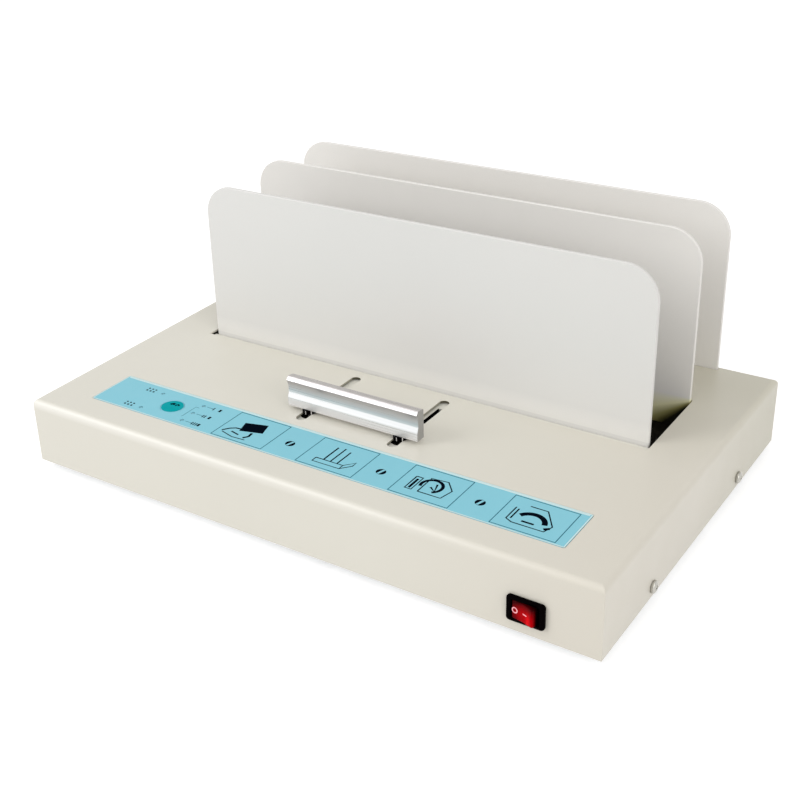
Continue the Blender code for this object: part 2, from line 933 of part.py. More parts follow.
def make_slide_plate():
    """The sheet under the case's top that carries the bar's studs and the front plate."""
    half_strip = well_half - slide_strip_inset
    back = front_plate_y - touch_gap
    outline = [
        (half_strip, back),
        (-half_strip, back),
        (-half_strip, slide_strip_front),
        (-slide_neck_left, slide_strip_front),
        (-slide_neck_left, slide_neck_front),
        (-slide_head, slide_neck_front),
    ]
    outline += arc(
        (-slide_head + slide_corner, slide_head_front + slide_corner), slide_corner, 180, 270, 4
    )
    outline += arc(
        (slide_head - slide_corner, slide_head_front + slide_corner), slide_corner, 270, 360, 4
    )
    outline += [
        (slide_head, slide_neck_front),
        (slide_neck_right, slide_neck_front),
        (slide_neck_right, slide_strip_front),
        (half_strip, slide_strip_front),
    ]
    shape = bmesh.new()
    face = shape.faces.new([shape.verts.new((x, y, slide_top)) for x, y in outline])
    grown = bmesh.ops.extrude_face_region(shape, geom=[face])
    lower = [v for v in grown["geom"] if isinstance(v, bmesh.types.BMVert)]
    bmesh.ops.translate(shape, vec=(0, 0, -slide_sheet), verts=lower)
    everything = shape.verts[:] + shape.edges[:] + shape.faces[:]
    bmesh.ops.bisect_plane(
        shape, geom=everything, plane_co=(0, back - slide_sheet, 0), plane_no=(0, 1, 0)
    )
    seam = []
    for face in shape.faces:
        centre = face.calc_center_median()
        if centre.z < slide_bottom + weld and centre.y > back - slide_sheet:
            seam.append(face)
    grown = bmesh.ops.extrude_face_region(shape, geom=seam)
    lower = [v for v in grown["geom"] if isinstance(v, bmesh.types.BMVert)]
    bmesh.ops.translate(shape, vec=(0, 0, -slide_flange), verts=lower)
    bmesh.ops.delete(shape, geom=seam, context="FACES_ONLY")
    fold = [
        e for e in shape.edges
        if all(v.co.z > slide_top - weld and v.co.y > back - weld for v in e.verts)
    ]
    bevel(shape, fold, slide_fold, 3)
    mesh = mesh_from(shape, "slide_plate")
    plate = piece("slide_plate", mesh, case_paint, parent=clamp_slide)
    for side in (-1, 1):
        middle = side * slot_spread
        hole = drill(
            middle, bar_y, slide_top, stud_radius + touch_gap, slide_sheet * 2 + overrun, "Z"
        )
        cut(plate, hole)
    for side in (-1, 1):
        hole = drill(
            side * plate_screw_x,
            back - slide_sheet / 2,
            slide_bottom - front_screw_drop,
            small_radius + screw_hole_gap,
            slide_sheet + overrun,
            "Y",
        )
        cut(plate, hole)


def make_clamp_screws():
    """Round-headed rivets through the flange and the front plate, flush on the book's side."""
    length = plate_sheet + slide_sheet + touch_gap * 2
    profile = pan_profile(small_head_radius, small_head, small_radius, length)
    for word, side in (("left", -1), ("right", 1)):
        turned(
            f"front_plate_rivet_{word}",
            profile,
            bright_steel,
            (
                side * plate_screw_x,
                front_plate_y - slide_sheet - touch_gap * 2,
                slide_bottom - front_screw_drop,
            ),
            clamp_slide,
            turn=towards_front,
            steps=small_steps,
        )


def bar_outline():
    """The extrusion's section, back from its front edge and up: a flat band, a ledge that
    leans back, a groove for the fingers, and a lip over it."""
    top = bar_height
    ledge_top = bar_band + bar_ledge
    groove_start = ledge_top + bar_groove_flat
    rise = top - bar_lip - groove_start
    reach = bar_groove_depth - bar_nose
    groove_radius = (rise**2 + reach**2) / (2 * reach)
    groove_angle = math.degrees(math.asin(rise / groove_radius))
    back_top = top - bar_back_drop
    points = [(bar_depth, 0)]
    points += arc((bar_depth - bar_back_round, back_top - bar_back_round), bar_back_round, 0, 90, 4)
    points += [(bar_lip_lean + bar_crest, top)]
    points += [(bar_lip_lean, top - bar_crest)]
    points += [(0, top - bar_lip + bar_nose)]
    points += arc(
        (bar_groove_depth - groove_radius, groove_start), groove_radius, groove_angle, 0, 8
    )
    points += [(bar_groove_depth, ledge_top)]
    points += [(bar_band_inset, bar_band)]
    points += [(bar_band_inset, 0)]
    return points


def make_handle():
    section = slab(bar_outline(), bar_length)
    # The section is drawn as (back, up, along), so it is turned to stand along X.
    turn = Matrix(((0, 0, 1), (1, 0, 0), (0, 1, 0)))
    bmesh.ops.rotate(section, matrix=turn, verts=section.verts)
    moved(section, (0, bar_front, bar_bottom))
    bar = piece("handle_bar", mesh_from(section, "handle_bar"), bar_metal, parent=clamp_slide)
    smooth(bar)
    nut_top = slide_bottom - touch_gap
    nut_bottom = nut_top - stud_nut
    profile = [
        (0, bar_bottom - touch_gap),
        (stud_radius, bar_bottom - touch_gap),
        (stud_radius, nut_top),
        (stud_nut_radius, nut_top),
        (stud_nut_radius, nut_bottom),
        (0, nut_bottom),
    ]
    for word, side in (("left", -1), ("right", 1)):
        turned(
            f"handle_stud_{word}",
            profile,
            bright_steel,
            (side * slot_spread, bar_y, 0),
            clamp_slide,
            steps=small_steps,
        )


def make_guides():
    length = bracket_back_y + bracket_sheet - bracket_front_y + rod_overhang * 2
    middle = (bracket_back_y + bracket_sheet + bracket_front_y) / 2
    for word, side in (("left", -1), ("right", 1)):
        shape = rod(rod_radius, length, round_steps, "Y")
        bevel(shape, rim_edges(shape), rod_end, 1)
        guide = piece(
            f"guide_rod_{word}",
            mesh_from(shape, "guide_rod"),
            bright_steel,
            (side * rod_spread, middle, rod_height),
        )
        smooth(guide)
        top = slide_bottom - touch_gap
        body = block(
            (-bush_side / 2, -bush_length / 2, top - bush_side),
            (bush_side / 2, bush_length / 2, top),
        )
        bevel(body, edges_along(body, 1), bush_round, 2)
        bush = piece(
            f"slide_bush_{word}",
            mesh_from(body, "slide_bush"),
            nylon,
            (side * rod_spread, bush_front + bush_length / 2, 0),
            clamp_slide,
        )
        bore = drill(
            side * rod_spread,
            bush_front + bush_length / 2,
            rod_height,
            rod_radius + touch_gap,
            bush_length + overrun,
            "Y",
            round_steps,
        )
        cut(bush, bore)
    for word, y in (("front", bracket_front_y), ("rear", bracket_back_y)):
        low = base_top + touch_gap
        holes = [
            circle((side * rod_spread, rod_height), rod_radius + touch_gap, round_steps)
            for side in (-1, 1)
        ]
        web = rounded_rectangle(-bracket_side, bracket_side, low, bracket_top, case_bend, 3)
        shape = upright(extruded("bracket", [web, *holes], bracket_sheet))
        moved(shape, (0, y + bracket_sheet / 2, 0))
        bracket = piece(f"rod_bracket_{word}", mesh_from(shape, "bracket"), zinc_steel)
        foot = sorted((y, y - bracket_foot if word == "rear" else y + bracket_foot))
        join(
            bracket,
            block(
                (-bracket_side + case_bend, foot[0], low),
                (bracket_side - case_bend, foot[1], low + bracket_sheet),
            ),
        )


def make_heater():
    """A heating plate on a folded tray, with its strips, cut-out switch and fuse."""
    shape = block(
        (-tray_half_length, tray_front, tray_bottom),
        (tray_half_length, tray_back, tray_top),
    )
    tray = piece("heater_tray", mesh_from(shape, "heater_tray"), zinc_steel)
    inner = block(
        (-tray_half_length - overrun, tray_front + tray_sheet, tray_bottom + tray_sheet),
        (tray_half_length + overrun, tray_back - tray_sheet, tray_top - tray_sheet),
    )
    cut(tray, inner)
    mouth = block(
        (-tray_half_length - overrun, tray_front + tray_lip, tray_top - tray_sheet - overrun),
        (tray_half_length + overrun, tray_back - tray_lip, tray_top + overrun),
    )
    cut(tray, mouth)
    for side in (-1, 1):
        hole = drill(
            side * plate_screw_x,
            tray_back - tray_sheet / 2,
            middle_screw_height,
            small_radius + screw_hole_gap,
            tray_sheet + overrun,
            "Y",
        )
        cut(tray, hole)
    plate = block(
        (-heater_length / 2, tray_front + heater_side_gap, heater_bottom),
        (heater_length / 2, tray_back - heater_side_gap, heater_top),
    )
    bevel(plate, list(plate.edges), heater_round, 2)
    piece("heater_plate", mesh_from(plate, "heater_plate"), heater_metal)
    middle = (tray_front + tray_back) / 2
    under = heater_bottom - touch_gap
    for word, side in (("front", -1), ("rear", 1)):
        ends = sorted((middle + side * strip_near, middle + side * strip_far))
        strip = block(
            (-strip_length / 2, ends[0], under - strip_thick),
            (strip_length / 2, ends[1], under),
        )
        bevel(strip, edges_along(strip, 0), heater_round, 2)
        piece(f"heater_strip_{word}", mesh_from(strip, "heater_strip"), mica)
    cutout = [
        (0, under),
        (cutout_radius, under),
        (cutout_radius, under - cutout_height * cutout_flange_share),
        (cutout_neck, under - cutout_height * cutout_flange_share),
        (cutout_neck, under - cutout_height),
        (0, under - cutout_height),
    ]
    turned("thermal_cutout", cutout, nylon, (0, middle, 0), steps=round_steps)
    fuse = rod(fuse_radius, fuse_length, small_steps, "X")
    bevel(fuse, rim_edges(fuse), fuse_radius * fuse_round_share, 2)
    link = piece(
        "thermal_fuse",
        mesh_from(fuse, "thermal_fuse"),
        bright_steel,
        (fuse_x, middle, under - fuse_radius),
    )
    smooth(link)


def make_label_and_key():
    film = rounded_rectangle(
        -label_length / 2, label_length / 2, label_front, label_back, label_corner, 3
    )
    holes = [circle((key_x, key_y), key_radius + touch_gap, round_steps)]
    holes += [circle(place, lamp_tip_radius + lamp_gap, small_steps) for place in lamp_places]
    top = case_top + label_proud
    shape = moved(extruded("film", [film, *holes], label_film), (0, 0, top - label_film / 2))
    piece("overlay_label", mesh_from(shape, "overlay_label"), label_print)
    key_top = top + key_proud
    stem_bottom = board_top + touch_gap + tact_height + tact_button + touch_gap + key_travel
    key = [
        (0, key_top),
        (key_radius - key_edge, key_top),
        (key_radius, key_top - key_edge),
        (key_radius, key_top - key_cap),
        (key_stem_radius, key_top - key_cap),
        (key_stem_radius, stem_bottom),
        (0, stem_bottom),
    ]
    turned("start_key", key, key_print, (key_x, key_y, 0), key_press, steps=round_steps)
    for i, (x, y) in enumerate(lamp_places):
        foot = board_top + touch_gap
        shoulder = case_top - label_recess - lamp_shoulder
        lamp = [
            (0, top),
            (lamp_tip_radius, top),
            (lamp_tip_radius, shoulder),
            (lamp_radius, shoulder),
            (lamp_radius, foot + lamp_flange),
            (lamp_flange_radius, foot + lamp_flange),
            (lamp_flange_radius, foot),
            (0, foot),
        ]
        turned(f"indicator_lamp_{i + 1}", lamp, lamp_plastic, (x, y, 0), steps=small_steps)


def make_control_board():
    board = rounded_rectangle(board_left, board_right, board_front, board_back, case_bend, 3)
    shape = moved(slab(board, board_thick), (0, 0, board_top - board_thick / 2))
    piece("control_board", mesh_from(shape, "control_board"), board_green)
    spacer = [
        (0, case_under - touch_gap),
        (spacer_radius, case_under - touch_gap),
        (spacer_radius, board_top + touch_gap),
        (0, board_top + touch_gap),
    ]
    for i, (x, y) in enumerate(spacer_places):
        turned(f"board_spacer_{i + 1}", spacer, nylon, (x, y, 0), steps=small_steps)
    foot = board_top + touch_gap
    half = tact_side / 2
    body = block((-half, -half, 0), (half, half, tact_height))
    bevel(body, edges_along(body, 2), tact_round, 1)
    tact = piece(
        "key_switch", mesh_from(body, "key_switch"), black_plastic, (key_x, key_y, foot)
    )
    join(
        tact,
        drill(
            key_x,
            key_y,
            foot + (tact_height + tact_button) / 2,
            tact_button_radius,
            tact_height + tact_button,
            "Z",
        ),
    )


def make_power_board():
    low = base_top + touch_gap
    top = low + power_peg + board_thick
    board = rounded_rectangle(power_left, power_right, power_front, power_back, case_bend, 3)
    shape = moved(slab(board, board_thick), (0, 0, top - board_thick / 2))
    power = piece("power_board", mesh_from(shape, "power_board"), board_green)
    for x in (power_left + power_peg_inset, power_right - power_peg_inset):
        for y in (power_front + power_peg_inset, power_back - power_peg_inset):
            middle = low + (power_peg + board_thick / 2) / 2
            peg = drill(x, y, middle, power_peg_radius, power_peg + board_thick / 2, "Z")
            join(power, peg)
    middle_board = (power_front + power_back) / 2
    seat = top + touch_gap
    size = Vector(relay_size)
    body = block((-size.x / 2, -size.y / 2, 0), (size.x / 2, size.y / 2, size.z))
    bevel(body, edges_along(body, 2), tact_round, 1)
    piece(
        "heater_relay", mesh_from(body, "heater_relay"), relay_blue, (relay_x, middle_board, seat)
    )
    size = Vector(coil_core)
    core = block((-size.x / 2, -size.y / 2, 0), (size.x / 2, size.y / 2, size.z))
    coil = piece(
        "transformer", mesh_from(core, "transformer"), zinc_steel, (coil_x, middle_board, seat)
    )
    window = block(
        (
            coil_x - size.x / 2 + coil_core_leg,
            middle_board - size.y / 2 - overrun,
            seat + coil_core_leg,
        ),
        (
            coil_x + size.x / 2 - coil_core_leg,
            middle_board + size.y / 2 + overrun,
            seat + size.z - coil_core_leg,
        ),
    )
    cut(coil, window)
    winding = block(
        (
            coil_x - size.x / 2 + coil_core_leg - coil_overlap,
            middle_board - size.y / 2 + coil_bobbin,
            seat + coil_core_leg - coil_overlap,
        ),
        (
            coil_x + size.x / 2 - coil_core_leg + coil_overlap,
            middle_board + size.y / 2 - coil_bobbin,
            seat + size.z - coil_core_leg + coil_overlap,
        ),
    )
    join(coil, winding)


def rocker_outline():
    """The rocker's section, across and outwards from its axis."""
    outline = [
        (rocker_half, rocker_end),
        (0, rocker_valley),
        (-rocker_half, rocker_end),
        (-rocker_half, rocker_shoulder),
    ]
    outline += arc((0, 0), rocker_belly, 180 + rocker_side_deg, 360 - rocker_side_deg, 8)
    outline += [(rocker_half, rocker_shoulder)]
    return outline


def make_switch():
    z = case_bottom + switch_rise
    frame = rounded_rectangle(
        -bezel_width / 2, bezel_width / 2, -bezel_height / 2, bezel_height / 2, bezel_corner, 4
    )
    shape = upright(slab(frame, bezel_proud))
    front = [e for e in shape.edges if all(v.co.y < 0 for v in e.verts)]
    bevel(shape, front, bezel_edge, 2)
    moved(shape, (switch_x, -touch_gap - bezel_proud / 2, z))
    body = piece("switch_body", mesh_from(shape, "switch_body"), black_plastic)
    join(
        body,
        block(
            (
                switch_x - switch_box_width / 2,
                -touch_gap - bezel_proud / 2,
                z - switch_box_height / 2,
            ),
            (
                switch_x + switch_box_width / 2,
                switch_box_depth,
                z + switch_box_height / 2,
            ),
        ),
    )
    cut(
        body,
        block(
            (
                switch_x - switch_cavity_width / 2,
                -bezel_proud - overrun,
                z - switch_cavity_height / 2,
            ),
            (
                switch_x + switch_cavity_width / 2,
                switch_cavity_depth,
                z + switch_cavity_height / 2,
            ),
        ),
    )
    section = upright(slab(rocker_outline(), rocker_height))
    # Upright leaves the height along Y, so it is turned to stand along Z.
    bmesh.ops.rotate(section, matrix=Matrix.Rotation(math.pi / 2, 3, "X"), verts=section.verts)
    bevel(section, list(section.edges), rocker_edge, 1)
    bmesh.ops.rotate(
        section,
        matrix=Matrix.Rotation(math.radians(-rocker_tilt_deg), 3, "Z"),
        verts=section.verts,
    )
    piece(
        "switch_rocker",
        mesh_from(section, "switch_rocker"),
        red_plastic,
        rocker_pivot.location,
        rocker_pivot,
    )
    for word, side in (("left", -1), ("right", 1)):
        x = switch_x + side * terminal_spread
        back = switch_box_depth + touch_gap
        blade = block(
            (x - terminal_thick / 2, back, z - terminal_width / 2),
            (x + terminal_thick / 2, back + terminal_length, z + terminal_width / 2),
        )
        bevel(blade, edges_along(blade, 0), terminal_thick, 1)
        piece(f"switch_terminal_{word}", mesh_from(blade, "switch_terminal"), brass)


def make_inlet():
    """A three-pin mains inlet with a screwed flange."""
    z = case_bottom + inlet_rise
    flange = rounded_rectangle(
        -inlet_flange_width / 2,
        inlet_flange_width / 2,
        -inlet_flange_height / 2,
        inlet_flange_height / 2,
        inlet_flange_corner,
        4,
    )
    holes = [
        circle((side * inlet_screw_spread, 0), small_radius + screw_hole_gap, small_steps)
        for side in (-1, 1)
    ]
    shape = upright(extruded("inlet", [flange, *holes], inlet_flange))
    moved(shape, (inlet_x, case_depth + touch_gap + inlet_flange / 2, z))
    inlet = piece("power_inlet", mesh_from(shape, "power_inlet"), black_plastic)
    back = case_depth + touch_gap + inlet_flange
    join(
        inlet,
        block(
            (
                inlet_x - inlet_body_width / 2,
                back - inlet_flange / 2 - inlet_body_depth,
                z - inlet_body_height / 2,
            ),
            (
                inlet_x + inlet_body_width / 2,
                back - inlet_flange / 2,
                z + inlet_body_height / 2,
            ),
        ),
    )
    half_width = inlet_socket_width / 2
    half_height = inlet_socket_height / 2
    socket = [
        (half_width, -half_height),
        (half_width, half_height - inlet_socket_chamfer),
        (half_width - inlet_socket_chamfer, half_height),
        (-half_width + inlet_socket_chamfer, half_height),
        (-half_width, half_height - inlet_socket_chamfer),
        (-half_width, -half_height),
    ]
    depth = inlet_socket_depth + overrun
    shape = upright(slab(socket, depth))
    cut(inlet, moved(shape, (inlet_x, back + overrun - depth / 2, z)))
    floor = back - inlet_socket_depth
    for side, rise in ((-1, -inlet_pin_offset), (0, inlet_pin_offset), (1, -inlet_pin_offset)):
        x = inlet_x + side * inlet_pin_spread
        join(
            inlet,
            block(
                (x - inlet_pin_width / 2, floor - overrun / 2, z + rise - inlet_pin_height / 2),
                (
                    x + inlet_pin_width / 2,
                    floor + inlet_pin_length,
                    z + rise + inlet_pin_height / 2,
                ),
            ),
        )


make_top_cover()
make_base_plate()
make_feet()
make_fasteners()
make_plates()
make_slide_plate()
make_clamp_screws()
make_handle()
make_guides()
make_heater()
make_label_and_key()
make_control_board()
make_power_board()
make_switch()
make_inlet()
print(len([o for o in parts.objects if o.type == "MESH"]), "pieces")
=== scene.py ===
# %% [markdown]
# # A desktop thermal binding machine
#
# A folded steel case holds a heated well. Three painted plates stand in it,
# and the front one is a clamp that an aluminium pull bar slides back and
# forth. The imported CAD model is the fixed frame: it gives every size and
# every joint. This script dresses that frame with finer shapes and with
# finishes that are made of shader nodes.

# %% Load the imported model
import json
import math

import bmesh
import bpy
from mathutils import Matrix, Vector

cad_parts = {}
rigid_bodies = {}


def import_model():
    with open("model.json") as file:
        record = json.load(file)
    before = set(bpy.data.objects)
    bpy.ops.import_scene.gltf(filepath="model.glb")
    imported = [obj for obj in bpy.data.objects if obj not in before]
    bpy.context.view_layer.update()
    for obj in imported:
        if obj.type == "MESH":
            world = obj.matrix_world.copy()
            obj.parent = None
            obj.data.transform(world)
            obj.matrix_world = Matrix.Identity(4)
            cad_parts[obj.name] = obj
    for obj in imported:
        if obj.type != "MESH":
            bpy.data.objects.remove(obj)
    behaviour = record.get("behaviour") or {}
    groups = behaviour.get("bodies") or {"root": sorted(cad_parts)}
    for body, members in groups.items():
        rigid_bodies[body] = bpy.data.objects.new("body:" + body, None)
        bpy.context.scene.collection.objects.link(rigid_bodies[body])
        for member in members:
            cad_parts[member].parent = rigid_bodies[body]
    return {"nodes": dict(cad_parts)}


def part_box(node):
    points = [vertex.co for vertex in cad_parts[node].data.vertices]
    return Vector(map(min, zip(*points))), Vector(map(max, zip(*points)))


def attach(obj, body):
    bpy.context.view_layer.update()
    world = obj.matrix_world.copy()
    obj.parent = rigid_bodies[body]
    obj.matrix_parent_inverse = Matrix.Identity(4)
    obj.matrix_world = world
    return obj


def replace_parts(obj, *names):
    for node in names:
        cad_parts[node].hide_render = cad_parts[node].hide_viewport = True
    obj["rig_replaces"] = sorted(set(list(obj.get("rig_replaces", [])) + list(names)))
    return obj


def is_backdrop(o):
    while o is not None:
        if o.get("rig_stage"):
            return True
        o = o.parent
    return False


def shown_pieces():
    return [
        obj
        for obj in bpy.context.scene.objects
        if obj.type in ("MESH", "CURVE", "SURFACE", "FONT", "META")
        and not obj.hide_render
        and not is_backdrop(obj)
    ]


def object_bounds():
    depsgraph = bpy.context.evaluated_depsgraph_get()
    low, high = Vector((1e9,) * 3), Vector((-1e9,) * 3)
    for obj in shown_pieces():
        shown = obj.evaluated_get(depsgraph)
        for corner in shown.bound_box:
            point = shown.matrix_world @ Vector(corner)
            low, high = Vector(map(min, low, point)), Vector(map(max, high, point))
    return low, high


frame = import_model()
cad_low, cad_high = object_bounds()
print("CAD box in mm:", [round(side * 1000, 1) for side in cad_high - cad_low])

# %% [markdown]
# ## Places on the machine
#
# A maker measures this machine from the foot of its front face: across from
# the middle, back from the face, and up from the desk, in millimetres. The
# scene is in metres, so one helper turns such a place into a scene point.
# Writing each place that way keeps the numbers short and easy to check
# against a ruler.

# %% Places
mm = 0.001
case_low, case_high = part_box("top_cover")
front_y = case_low.y
case_top = case_high.z / mm
case_depth = (case_high.y - case_low.y) / mm
case_half = case_high.x / mm


def spot(across, back, up):
    return Vector((across * mm, front_y + back * mm, up * mm))


def node_box(name):
    """A CAD node's corners in this script's own millimetres."""
    low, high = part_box(name)
    shift = Vector((0, front_y, 0))
    return (low - shift) / mm, (high - shift) / mm


def node_middle(name):
    low, high = node_box(name)
    return (low + high) / 2


print(f"case: {case_half * 2:.0f} wide, {case_depth:.0f} deep, top at {case_top:.1f} mm")

# %% [markdown]
# ## The camera
#
# The photograph looks down on the machine from its front right corner. The
# camera could be aimed with a Track To constraint, but the photographed box
# gives three directions directly: right, down and forward in the picture.
# Those are the columns of the camera's matrix, so the matrix is set as it is.
# The lens is a little longer than normal, and a small shift puts the machine
# where the photograph has it.

# %% Camera
scene = bpy.context.scene


def linked(name, data):
    """A new object that holds the data, put into the scene."""
    thing = bpy.data.objects.new(name, data)
    scene.collection.objects.link(thing)
    return thing


camera_data = bpy.data.cameras.new("camera")
camera_data.sensor_width = 36
camera_data.lens = 58.68
camera_data.shift_x = 0.0804
camera_data.shift_y = -0.0391
camera_data.clip_start = 0.01
camera_data.clip_end = 50
camera = linked("camera", camera_data)
camera_place = Vector((0.3825, -0.5965, 0.4115))
picture_right = Vector((0.8219, 0.5680, -0.0425))
picture_down = Vector((0.2191, -0.3841, -0.8969))
picture_in = Vector((-0.5258, 0.7279, -0.4402))
aim = Matrix((picture_right, -picture_down, -picture_in)).transposed()
camera.matrix_world = Matrix.Translation(camera_place) @ aim.to_4x4()
scene.camera = camera
print(f"camera: lens {camera_data.lens:.1f} mm, {camera_place.length:.2f} m away")

# %% [markdown]
# ## Studio light
#
# A product photograph is lit by big soft boxes in a white room. The world is
# the room: it lights every side evenly, and what the camera and the shiny
# metal see of it is plain white. Three large area lamps give the shapes a
# direction: the main one from the front left, a weaker one from the right
# and a faint one from above. More or smaller lamps would draw hard shadows
# that the photograph doesn't show.

# %% World
scene.view_settings.view_transform = "Standard"
room_light = 0.64
world = bpy.data.worlds.new("white_room")
scene.world = world
world.use_nodes = True
world_nodes = world.node_tree.nodes
world_links = world.node_tree.links
room = world_nodes["Background"]
room.inputs["Color"].default_value = (1.0, 0.996, 0.990, 1)
room.inputs["Strength"].default_value = room_light
backdrop = world_nodes.new("ShaderNodeBackground")
backdrop.inputs["Color"].default_value = (1, 1, 1, 1)
backdrop.inputs["Strength"].default_value = 1.0


def seen_directly(nodes, links):
    """1 for rays from the camera, off a shiny surface or through a clear one."""
    path = nodes.new("ShaderNodeLightPath")
    total = path.outputs["Is Camera Ray"]
    for name in ("Is Glossy Ray", "Is Transmission Ray"):
        join = nodes.new("ShaderNodeMath")
        join.operation = "MAXIMUM"
        links.new(total, join.inputs[0])
        links.new(path.outputs[name], join.inputs[1])
        total = join.outputs[0]
    return total


choice = world_nodes.new("ShaderNodeMixShader")
world_links.new(seen_directly(world_nodes, world_links), choice.inputs[0])
world_links.new(room.outputs[0], choice.inputs[1])
world_links.new(backdrop.outputs[0], choice.inputs[2])
world_links.new(choice.outputs[0], world_nodes["World Output"].inputs["Surface"])
print(f"room light {room_light}")

# %% Lamps
machine_middle = Vector((0, 0, 0.05))


def soft_box(name, place, size, power, colour):
    """A rectangular lamp that looks at the middle of the machine."""
    data = bpy.data.lights.new(name, "AREA")
    data.shape = "RECTANGLE"
    data.size, data.size_y = size
    data.energy = power
    data.color = colour
    lamp = linked(name, data)
    lamp.location = place
    way = machine_middle - Vector(place)
    lamp.rotation_euler = way.to_track_quat("-Z", "Y").to_euler()
    print(f"{name}: {power} W at {Vector(place).length:.1f} m")


soft_box("main_soft_box", (-1.30, -1.40, 1.10), (1.0, 1.3), 17.5, (0.99, 0.99, 1.0))
soft_box("fill_soft_box", (1.7, -0.9, 1.0), (1.3, 1.0), 11.5, (1.0, 0.98, 0.96))
soft_box("top_soft_box", (0.1, -0.5, 2.1), (1.6, 1.4), 5, (1.0, 0.99, 0.97))

# %% [markdown]
# ## The floor
#
# The machine stands on white studio paper, and the picture shows no horizon.
# A wide flat sheet does that. Its colour is a plain pale one under the light,
# and what the camera sees of it gets a little white added, so that it comes
# out white where nothing shades it and still shows the machine's soft shadow.

# %% Floor
floor_colour = 0.80
floor_lift = 0.46
floor_half = 6
floor_gap = 0.0001


def as_mesh(shape, name):
    """A mesh of the bmesh's shape. The bmesh is freed."""
    mesh = bpy.data.meshes.new(name)
    shape.to_mesh(mesh)
    shape.free()
    return mesh


paper = bpy.data.materials.new("studio_paper")
paper.use_nodes = True
paper_nodes = paper.node_tree.nodes
paper_links = paper.node_tree.links
paper_shader = paper_nodes["Principled BSDF"]
paper_shader.inputs["Base Color"].default_value = (floor_colour,) * 3 + (1,)
paper_shader.inputs["Roughness"].default_value = 0.9
paper_shader.inputs["Specular IOR Level"].default_value = 0.1
lift = paper_nodes.new("ShaderNodeMath")
lift.operation = "MULTIPLY"
lift.inputs[1].default_value = floor_lift
paper_links.new(seen_directly(paper_nodes, paper_links), lift.inputs[0])
paper_shader.inputs["Emission Color"].default_value = (1, 1, 1, 1)
paper_links.new(lift.outputs[0], paper_shader.inputs["Emission Strength"])

floor_shape = bmesh.new()
bmesh.ops.create_grid(floor_shape, x_segments=2, y_segments=2, size=floor_half)
floor_mesh = as_mesh(floor_shape, "studio_floor")
floor_mesh.materials.append(paper)
floor = linked("studio_floor", floor_mesh)
floor.location.z = cad_low.z - floor_gap
floor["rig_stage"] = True
print(f"floor {2 * floor_half} m wide, just under the feet")

# %% [markdown]
# ## How the finishes are made
#
# No surface on a real machine is one flat colour. Powder coat has an orange
# peel, drawn metal has fine lines, zinc has crystals. Each finish here is a
# Principled shader whose colour, roughness and bump come from noise in the
# piece's own coordinates. Those are in metres, so a noise scale of 1000 gives
# grains of about a millimetre. Photographs of surfaces could be wrapped round
# the pieces instead, but noise needs no files and has no seams.


# %% Colours
def shown(red, green, blue):
    """A screen colour, 0 to 255, turned into the linear colour a shader takes."""
    linear = []
    for value in (red, green, blue):
        share = value / 255
        linear.append(share / 12.92 if share <= 0.04045 else ((share + 0.055) / 1.055) ** 2.4)
    return (*linear, 1.0)


def toned(colour, share):
    """The colour made darker, or lighter for a share over 1."""
    return (*(channel * share for channel in colour[:3]), 1.0)


def dusty(colour):
    """The colour under a little dust."""
    return (*(min(1.0, channel * 1.25 + 0.002) for channel in colour[:3]), 1.0)


print("middle grey as a shader takes it:", round(shown(128, 128, 128)[0], 3))


